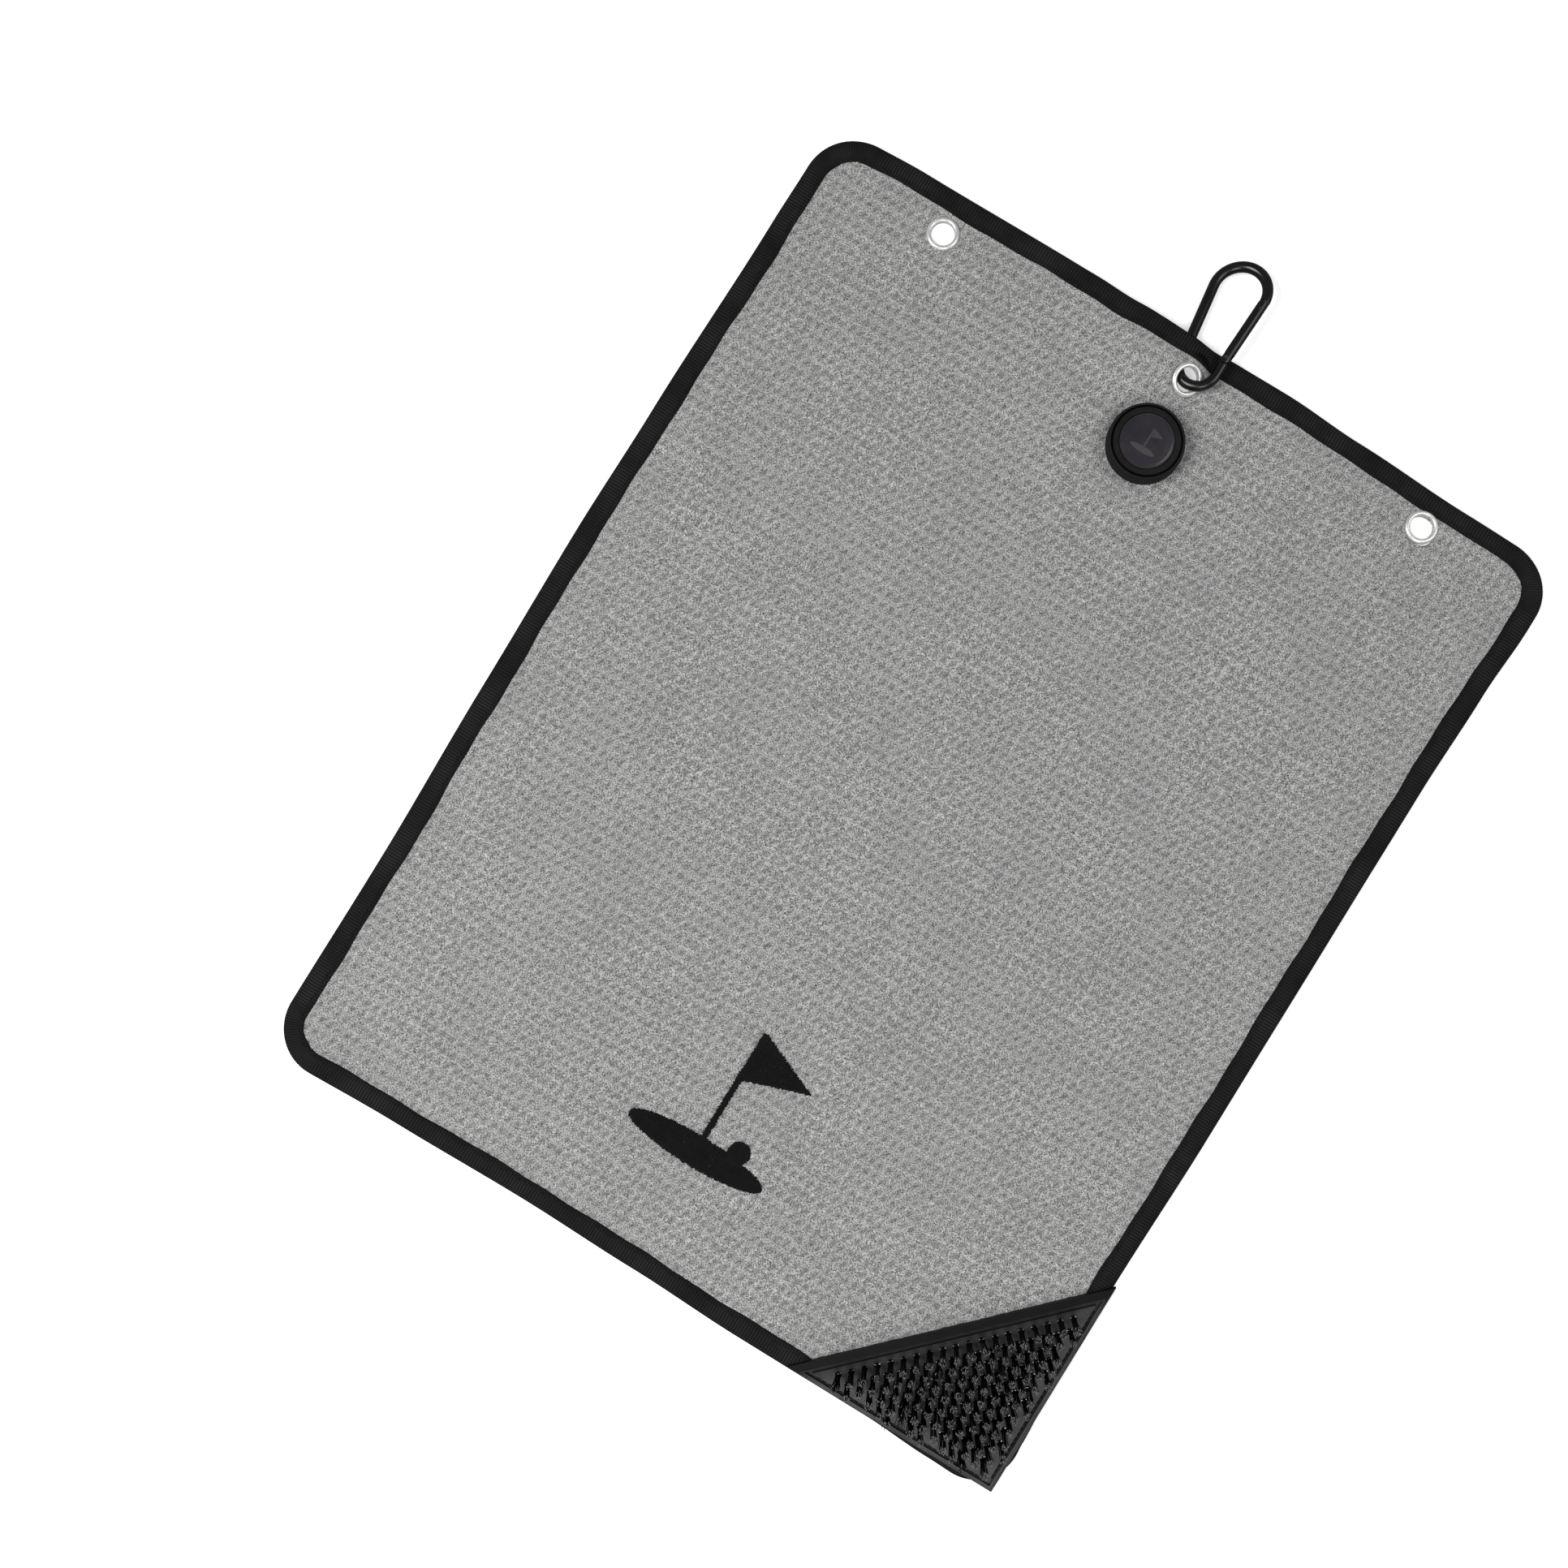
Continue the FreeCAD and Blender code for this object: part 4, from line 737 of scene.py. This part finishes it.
class Threads:
    """Collects round threads that follow polylines, for one mesh."""

    def __init__(self, sides):
        self.sides = sides
        self.vertices = []
        self.faces = []

    def add(self, points, radii):
        """One thread with closed ends; radii is a number, or one for each point."""
        points = [Vector(p) for p in points]
        first = len(self.vertices)
        for i, point in enumerate(points):
            ahead = points[min(i + 1, len(points) - 1)] - points[max(i - 1, 0)]
            ahead.normalize()
            guide = Vector((0, 0, 1)) if abs(ahead.z) < 0.9 else Vector((1, 0, 0))
            side = ahead.cross(guide).normalized()
            up = side.cross(ahead)
            radius = radii[i] if hasattr(radii, "__len__") else radii
            for k in range(self.sides):
                angle = TAU * k / self.sides
                out = side * math.cos(angle) + up * math.sin(angle)
                self.vertices.append(point + out * radius)
        for i in range(len(points) - 1):
            for k in range(self.sides):
                a = first + i * self.sides + k
                b = first + i * self.sides + (k + 1) % self.sides
                self.faces.append((a, b, b + self.sides, a + self.sides))
        last = first + (len(points) - 1) * self.sides
        self.faces.append(tuple(first + k for k in reversed(range(self.sides))))
        self.faces.append(tuple(last + k for k in range(self.sides)))

    def build(self, name):
        return new_object(name, self.vertices, self.faces)


def under_brush(x, y, margin):
    """Whether a point lies under the brush, or within margin of its long edge."""
    across, up = BRUSH_CORNER[0] - x, y - BRUSH_CORNER[1]
    return across + up < BRUSH_LEG + margin and across > -3 and up > -3


STITCH_PITCH = 1.65
STITCH_OUT, STITCH_IN = 6.9, 9.5   # how far in from the edge the zigzag's turns lie
STITCH_RADIUS = 0.24
STITCH_HEIGHT = 3.05      # of a stitch's ends above the sheet's underside


def make_binding_stitches():
    """Zigzag sewing along the binding's inner edge."""
    points, inward = outline_stations(STITCH_PITCH)
    threads = Threads(sides=6)
    count = len(points)
    for i in range(count):
        following = (i + 1) % count
        near, far = (STITCH_OUT, STITCH_IN) if i % 2 else (STITCH_IN, STITCH_OUT)
        start = points[i] + inward[i] * (near + rng.uniform(-0.25, 0.25))
        end = points[following] + inward[following] * (far + rng.uniform(-0.25, 0.25))
        path = []
        for share in (0.0, 0.2, 0.5, 0.8, 1.0):
            flat = start + (end - start) * share
            x, y = waver(flat[0], flat[1])
            bow = 0.42 * math.sin(math.pi * share) + 0.12 * (1 - abs(2 * share - 1))
            inset = near + (far - near) * share
            fall = 0.2 * max(0.0, (inset - 7.2) / 2.4)
            height = float(sheet_height(x, y, 0.0)) + STITCH_HEIGHT + bow - fall
            path.append((float(x), float(y), height))
        if under_brush(path[2][0], path[2][1], 3.0):
            continue
        threads.add(path, STITCH_RADIUS)
    piece = threads.build("binding_zigzag_stitches")
    return finish_piece(piece, "towel", LOOKS["black_thread"], "black_thread", "binding_stitching")


binding = make_binding()
binding_stitches = make_binding_stitches()


# ---------------------------------------------------------------- puck: ribbed collar and print

RING_RIBS = 84
RING_GROOVE = 0.34        # depth of the grooves between the collar's ribs

# Round the collar: radius, height, share of the ribs' grooves.
COLLAR_SECTION = (
    (16.55, 2.2, 0), (18.2, 2.2, 0), (18.42, 2.35, 0.3), (18.5, 2.8, 1), (18.48, 5.0, 1),
    (18.4, 8.2, 1), (18.22, 9.8, 1), (18.05, 10.5, 0.6), (17.92, 10.75, 0.1), (17.86, 10.95, 0),
    (17.72, 11.3, 0), (17.5, 11.5, 0), (17.3, 11.58, 0), (17.1, 11.55, 0), (16.85, 11.3, 0),
    (16.62, 10.7, 0), (16.55, 10.2, 0))

DOME_RADII = (0.0, 5.3, 8.8, 11.3, 12.3)
DOME_HEIGHTS = (11.92, 11.87, 11.77, 11.57, 11.37)
PRINT_LIFT = 0.03
PRINT_THICKNESS = 0.02

# The print's green, pole and flag, about the marker's centre.
PRINT_OUTLINES = (ellipse_points(0.0, -4.6, 6.4, 1.5, 40),
                  [(-0.45, -3.0), (0.45, -3.0), (0.45, 6.5), (-0.45, 6.5)],
                  [(0.55, 6.5), (5.8, 4.3), (0.55, 2.2)])


def revolve(name, section, centre, segments, wobble=None):
    """Turns a closed (radius, height, ribs' share) section about the vertical through centre."""
    vertices, faces = [], []
    rows = len(section)
    for i in range(segments):
        angle = TAU * i / segments
        for radius, z, share in section:
            r = radius - (wobble(angle) * share if wobble else 0)
            vertices.append((centre[0] + r * math.cos(angle), centre[1] + r * math.sin(angle), z))
    for i in range(segments):
        n = (i + 1) % segments
        for j in range(rows):
            k = (j + 1) % rows
            faces.append((i * rows + j, n * rows + j, n * rows + k, i * rows + k))
    return new_object(name, vertices, faces)


def ring_groove(angle):
    """How far the collar's side is cut in at an angle: narrow grooves between broad ribs."""
    wave = 0.5 + 0.5 * math.cos(RING_RIBS * angle)
    return RING_GROOVE * wave ** 3


def make_grip_ring():
    """The ribbed rubber collar round the puck."""
    ring = revolve("puck_ribbed_collar", COLLAR_SECTION, PUCK, RING_RIBS * 8, ring_groove)
    return finish_piece(ring, "towel", LOOKS["puck_rubber"], "puck_rubber", "magnet_grip_ring")


def dome_height(r):
    """Top of the marker's clear dome, a hair above the CAD surface."""
    return float(np.interp(r, DOME_RADII, DOME_HEIGHTS)) + PRINT_LIFT


def make_marker_print():
    """A faint flag on a green, printed on the marker."""
    bm = bmesh.new()
    for outline in PRINT_OUTLINES:
        corners = []
        for x, y in outline:
            z = dome_height(math.hypot(x, y))
            corners.append(bm.verts.new(((PUCK[0] + x) * MM, (PUCK[1] + y) * MM, z * MM)))
        bm.faces.new(corners)
    bmesh.ops.triangulate(bm, faces=bm.faces[:])
    bmesh.ops.subdivide_edges(bm, edges=bm.edges[:], cuts=5, use_grid_fill=True)
    for vertex in bm.verts:
        across = math.hypot(vertex.co.x / MM - PUCK[0], vertex.co.y / MM - PUCK[1])
        vertex.co.z = dome_height(across) * MM
    bmesh.ops.solidify(bm, geom=bm.faces[:], thickness=PRINT_THICKNESS * MM)
    # the rim's new faces come in a different order each run, so they are all sorted
    bm.verts.index_update()
    count = len(bm.verts)

    def order(face):
        first, second, third = sorted(vertex.index for vertex in face.verts)[:3]
        return (first * count + second) * count + third

    bm.faces.sort(key=order)
    mesh = bpy.data.meshes.new("marker_print")
    bm.to_mesh(mesh)
    bm.free()
    piece = bpy.data.objects.new("marker_print", mesh)
    bpy.context.scene.collection.objects.link(piece)
    look = plastic_look("marker_print_ink", 0.045, 0.35, grain=0.5, Specular_IOR_Level=0.3)
    return finish_piece(piece, "marker", look, "marker_gloss")


make_grip_ring()
make_marker_print()


# ---------------------------------------------------------------- eyelets

# Round a rolled ring, from its barrel over the flange to the clinched foot: radius, height.
EYELET_SECTION = (
    (5.6, -1.0), (5.6, 0.7), (5.68, 1.1), (5.9, 1.45), (6.25, 1.68), (6.65, 1.74), (7.1, 1.66),
    (7.5, 1.42), (7.82, 1.08), (7.98, 0.72), (7.95, 0.6), (6.15, 0.6), (6.15, -1.38),
    (7.0, -1.38), (7.0, -1.65), (6.7, -1.75), (5.95, -1.42))
EYELET_HEIGHT = 1.75      # of the two empty eyelets


def make_eyelet(side, centre, axis):
    """A rolled ring, turned about its own axis and then set in its place."""
    section = [(radius, z, 0) for radius, z in EYELET_SECTION]
    ring = revolve(side + "_rolled_eyelet", section, (0, 0), 96)
    turn = Vector((0, 0, 1)).rotation_difference(Vector(axis)).to_matrix().to_4x4()
    ring.data.transform(Matrix.Translation(Vector(centre) * MM) @ turn)
    return finish_piece(ring, "towel", LOOKS["eyelet_metal"], "eyelet_metal", side + "_eyelet")


make_eyelet("left", (*EYELETS[0], EYELET_HEIGHT), (0, 0, 1))
make_eyelet("centre", EYELET_CENTRE, EYELET_AXIS)
make_eyelet("right", (*EYELETS[2], EYELET_HEIGHT), (0, 0, 1))


# ---------------------------------------------------------------- brush bristles

BRISTLES = 30             # in each tuft
BRISTLE_RADIUS = 0.18
TUFT_RADIUS = 1.2
BRISTLE_ROOT = 0.6        # how deep the bristles start in the plate
RAGGED_SHARE = 0.1        # of the tufts are worn


def tuft_feet(node):
    """Centre and highest point of each separate tuft of a CAD node."""
    bm = bmesh.new()
    bm.from_mesh(nodes[node].data)
    bmesh.ops.remove_doubles(bm, verts=bm.verts, dist=1e-6)
    seen, found = set(), []
    for start in bm.verts:
        if start in seen:
            continue
        seen.add(start)
        island, edge = [], [start]
        while edge:
            vertex = edge.pop()
            island.append(vertex.co / MM)
            for link in vertex.link_edges:
                other = link.other_vert(vertex)
                if other not in seen:
                    seen.add(other)
                    edge.append(other)
        spots = np.array(island)
        middle = (spots.min(0) + spots.max(0)) / 2
        found.append((middle[0], middle[1], spots[:, 2].max()))
    bm.free()
    return sorted(found)


def make_tufts(name, *replaced):
    """Bristles that lean, splay and end unevenly, some tufts more raggedly than others."""
    threads = Threads(sides=4)
    root = BRUSH_FOOT + BRUSH_THICKNESS - BRISTLE_ROOT
    for node in replaced:
        for x, y, top in tuft_feet(node):
            lean = (rng.gauss(0, 0.35), rng.gauss(0, 0.35))
            splay = rng.uniform(0.5, 1.0)
            ragged = rng.random() < RAGGED_SHARE
            for _ in range(BRISTLES):
                angle = rng.uniform(0, TAU)
                reach = math.sqrt(rng.random())
                foot = (x + TUFT_RADIUS * reach * math.cos(angle),
                        y + TUFT_RADIUS * reach * math.sin(angle))
                spread = splay * reach * rng.uniform(0.5, 1.5)
                spread += rng.uniform(0, 1.0) if ragged else 0
                turn = angle + rng.gauss(0, 0.35)
                shift = (lean[0] + spread * math.cos(turn), lean[1] + spread * math.sin(turn))
                height = top - rng.uniform(0.0, 0.9) - (rng.uniform(0, 2.5) if ragged else 0)
                path, radii = [], []
                for share in (0.0, 0.35, 0.7, 1.0):
                    bend = share ** 1.8
                    path.append((foot[0] + shift[0] * bend, foot[1] + shift[1] * bend,
                                 root + (height - root) * share))
                    radii.append(BRISTLE_RADIUS * (1.0 - 0.12 * share))
                threads.add(path, radii)
    piece = threads.build(name)
    return finish_piece(piece, "towel", LOOKS["bristle"], "bristle", *replaced)


make_tufts("brush_bristles", "brush_tufts")
make_tufts("corner_bristles", "corner_tufts")


# ---------------------------------------------------------------- embroidery

SATIN_STEP = 0.4          # between neighbouring threads
SATIN_RADII = (0.14, 0.24, 0.27, 0.24, 0.14)
SATIN_RISE = 0.36


def crossings(outline, across, angle):
    """Where a line at angle, moved sideways by across, enters and leaves an outline."""
    c, s = math.cos(angle), math.sin(angle)
    turned = [(x * c + y * s, -x * s + y * c) for x, y in outline]
    cuts = []
    for (u0, v0), (u1, v1) in zip(turned, turned[1:] + turned[:1]):
        if (v0 - across) * (v1 - across) < 0:
            cuts.append(u0 + (u1 - u0) * (across - v0) / (v1 - v0))
    cuts.sort()
    spread = [v for _, v in turned]
    return list(zip(cuts[::2], cuts[1::2])), min(spread), max(spread)


def fill_stitches(threads, outline, degrees, longest, low):
    """Covers an outline with threads laid side by side, split where they get long."""
    angle = math.radians(degrees)
    c, s = math.cos(angle), math.sin(angle)
    _, start, stop = crossings(outline, 0.0, angle)
    row = 0
    across = start + SATIN_STEP / 2
    while across < stop:
        for begin, end in crossings(outline, across, angle)[0]:
            begin -= rng.uniform(-0.3, 0.6)
            end += rng.uniform(-0.3, 0.6)
            cut = begin
            while cut < end - 0.2:
                stride = longest * (0.5 + 0.25 * (row % 3)) if cut == begin else longest
                finish = end if end - cut < stride * 1.35 else cut + stride
                path = []
                for share in (0.0, 0.12, 0.5, 0.88, 1.0):
                    u = cut + (finish - cut) * share
                    rise = SATIN_RISE * math.sin(math.pi * min(max(share, 0.04), 0.96)) ** 0.5
                    x, y = u * c - across * s, u * s + across * c
                    path.append((x, y, float(ripple(x, y)) + low + rise))
                threads.add(path, SATIN_RADII)
                cut = finish
        row += 1
        across += SATIN_STEP * rng.uniform(0.94, 1.06)


def make_embroidery():
    """A flag on a green with a ball, sewn in the CAD motif's box."""
    low, high = (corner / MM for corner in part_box("embroidered_emblem"))
    cx = (low.x + high.x) / 2
    foot, head = low.y, high.y
    half_width = (high.x - low.x) / 2
    base = CLOTH_TOP + 0.1
    green = ellipse_points(cx, foot + 7.5, half_width, 7.5)
    pole = [(cx - 1.4, foot + 9), (cx + 1.4, foot + 9), (cx + 1.4, head), (cx - 1.4, head)]
    flag = [(cx + 0.6, head), (cx + 33, head - 13.75), (cx + 0.6, head - 25)]
    ball = ellipse_points(cx + half_width * 0.5, foot + 17.25, 5.5, 5.5)
    threads = Threads(sides=6)
    for outline, degrees, longest, lift in ((green, 78, 5.0, 0.0), (pole, 4, 6.0, 0.12),
                                            (flag, 62, 5.5, 0.06), (ball, 35, 5.0, 0.1)):
        fill_stitches(threads, outline, degrees, longest, base + lift)
    piece = threads.build("satin_stitch_emblem")
    return finish_piece(piece, "towel", LOOKS["embroidery_thread"], "embroidery_thread",
                        "embroidered_emblem")


embroidery = make_embroidery()


# ---------------------------------------------------------------- camera, light and floor

# name, place and target in metres, size in metres, power in watts
LAMPS = (("key", (-1.0, -0.75, 1.6), (0, 0, 0), 1.0, 30),
         ("corner", (0.75, -0.95, 1.7), (0.05, -0.05, 0), 0.9, 11),
         ("fill", (1.1, 0.55, 1.5), (0, 0, 0), 1.2, 9))
WORLD_STRENGTH = 0.2
WHITE = (1.0, 1.0, 1.0, 1.0)


def area_light(name, place, target, size, power):
    """A square soft box that points at its target."""
    data = bpy.data.lights.new(name, "AREA")
    data.shape = "SQUARE"
    data.size = size
    data.energy = power
    lamp = bpy.data.objects.new(name, data)
    lamp.location = place
    lamp.rotation_euler = (Vector(target) - Vector(place)).to_track_quat("-Z", "Y").to_euler()
    bpy.context.scene.collection.objects.link(lamp)


CAMERA_HEIGHT = 0.65      # metres, as the next two
CAMERA_Y = 0.0032
VIEW_WIDTH = 0.743        # how much of the floor the picture spans
SENSOR = 36.0
SHIFT = (-0.0844, 0.0104)
TURN = 31.5               # degrees that the towel is turned in the picture

camera_data = bpy.data.cameras.new("camera")
camera_data.sensor_width = SENSOR
camera_data.lens = SENSOR * CAMERA_HEIGHT / VIEW_WIDTH
camera_data.shift_x, camera_data.shift_y = SHIFT
camera_data.clip_start = 0.01
camera = bpy.data.objects.new("camera", camera_data)
camera.location = (0.0, CAMERA_Y, CAMERA_HEIGHT)
camera.rotation_euler = (0.0, 0.0, math.radians(TURN))
bpy.context.scene.collection.objects.link(camera)
bpy.context.scene.camera = camera

FLOOR_REACH = 2500
FLOOR_DROP = 0.05
BACKDROP_RADIUS = 2400
BACKDROP_HEIGHT = 3600
BACKDROP_SIDES = 96

corners = ((-1, -1), (1, -1), (1, 1), (-1, 1))
floor = new_object("floor", [(x * FLOOR_REACH, y * FLOOR_REACH, -FLOOR_DROP) for x, y in corners],
                   [(0, 1, 2, 3)], smooth_shading=False)
floor_look = Look("pale_floor", Roughness=0.9, Specular_IOR_Level=0.1, Emission_Strength=0.45,
                  Emission_Color=WHITE)
floor_look.colour(floor_look.blend_colour(floor_look.noise(60.0), grey(0.86), grey(0.89)))
floor.data.materials.append(floor_look.material)
floor.visible_glossy = False


def make_backdrop():
    """A pale wall round the floor that only the camera sees, so it changes no light."""
    vertices, faces = [], []
    for i in range(BACKDROP_SIDES):
        angle = TAU * i / BACKDROP_SIDES
        x, y = BACKDROP_RADIUS * math.cos(angle), BACKDROP_RADIUS * math.sin(angle)
        vertices += [(x, y, -1.0), (x, y, BACKDROP_HEIGHT)]
        n = (i + 1) % BACKDROP_SIDES
        faces.append((2 * i, 2 * i + 1, 2 * n + 1, 2 * n))
    wall = new_object("backdrop", vertices, faces)
    look = Look("pale_backdrop", Roughness=0.95, Specular_IOR_Level=0.0, Emission_Strength=0.62,
                Emission_Color=WHITE)
    look.colour(look.blend_colour(look.noise(300.0), grey(0.80), grey(0.84)))
    wall.data.materials.append(look.material)
    wall.visible_diffuse = False
    wall.visible_glossy = False
    wall.visible_transmission = False
    wall.visible_shadow = False


make_backdrop()

world = bpy.data.worlds.new("studio")
world.use_nodes = True
background = world.node_tree.nodes["Background"]
background.inputs["Color"].default_value = WHITE
background.inputs["Strength"].default_value = WORLD_STRENGTH
bpy.context.scene.world = world
for lamp in LAMPS:
    area_light(*lamp)
bpy.context.scene.view_settings.view_transform = "Standard"
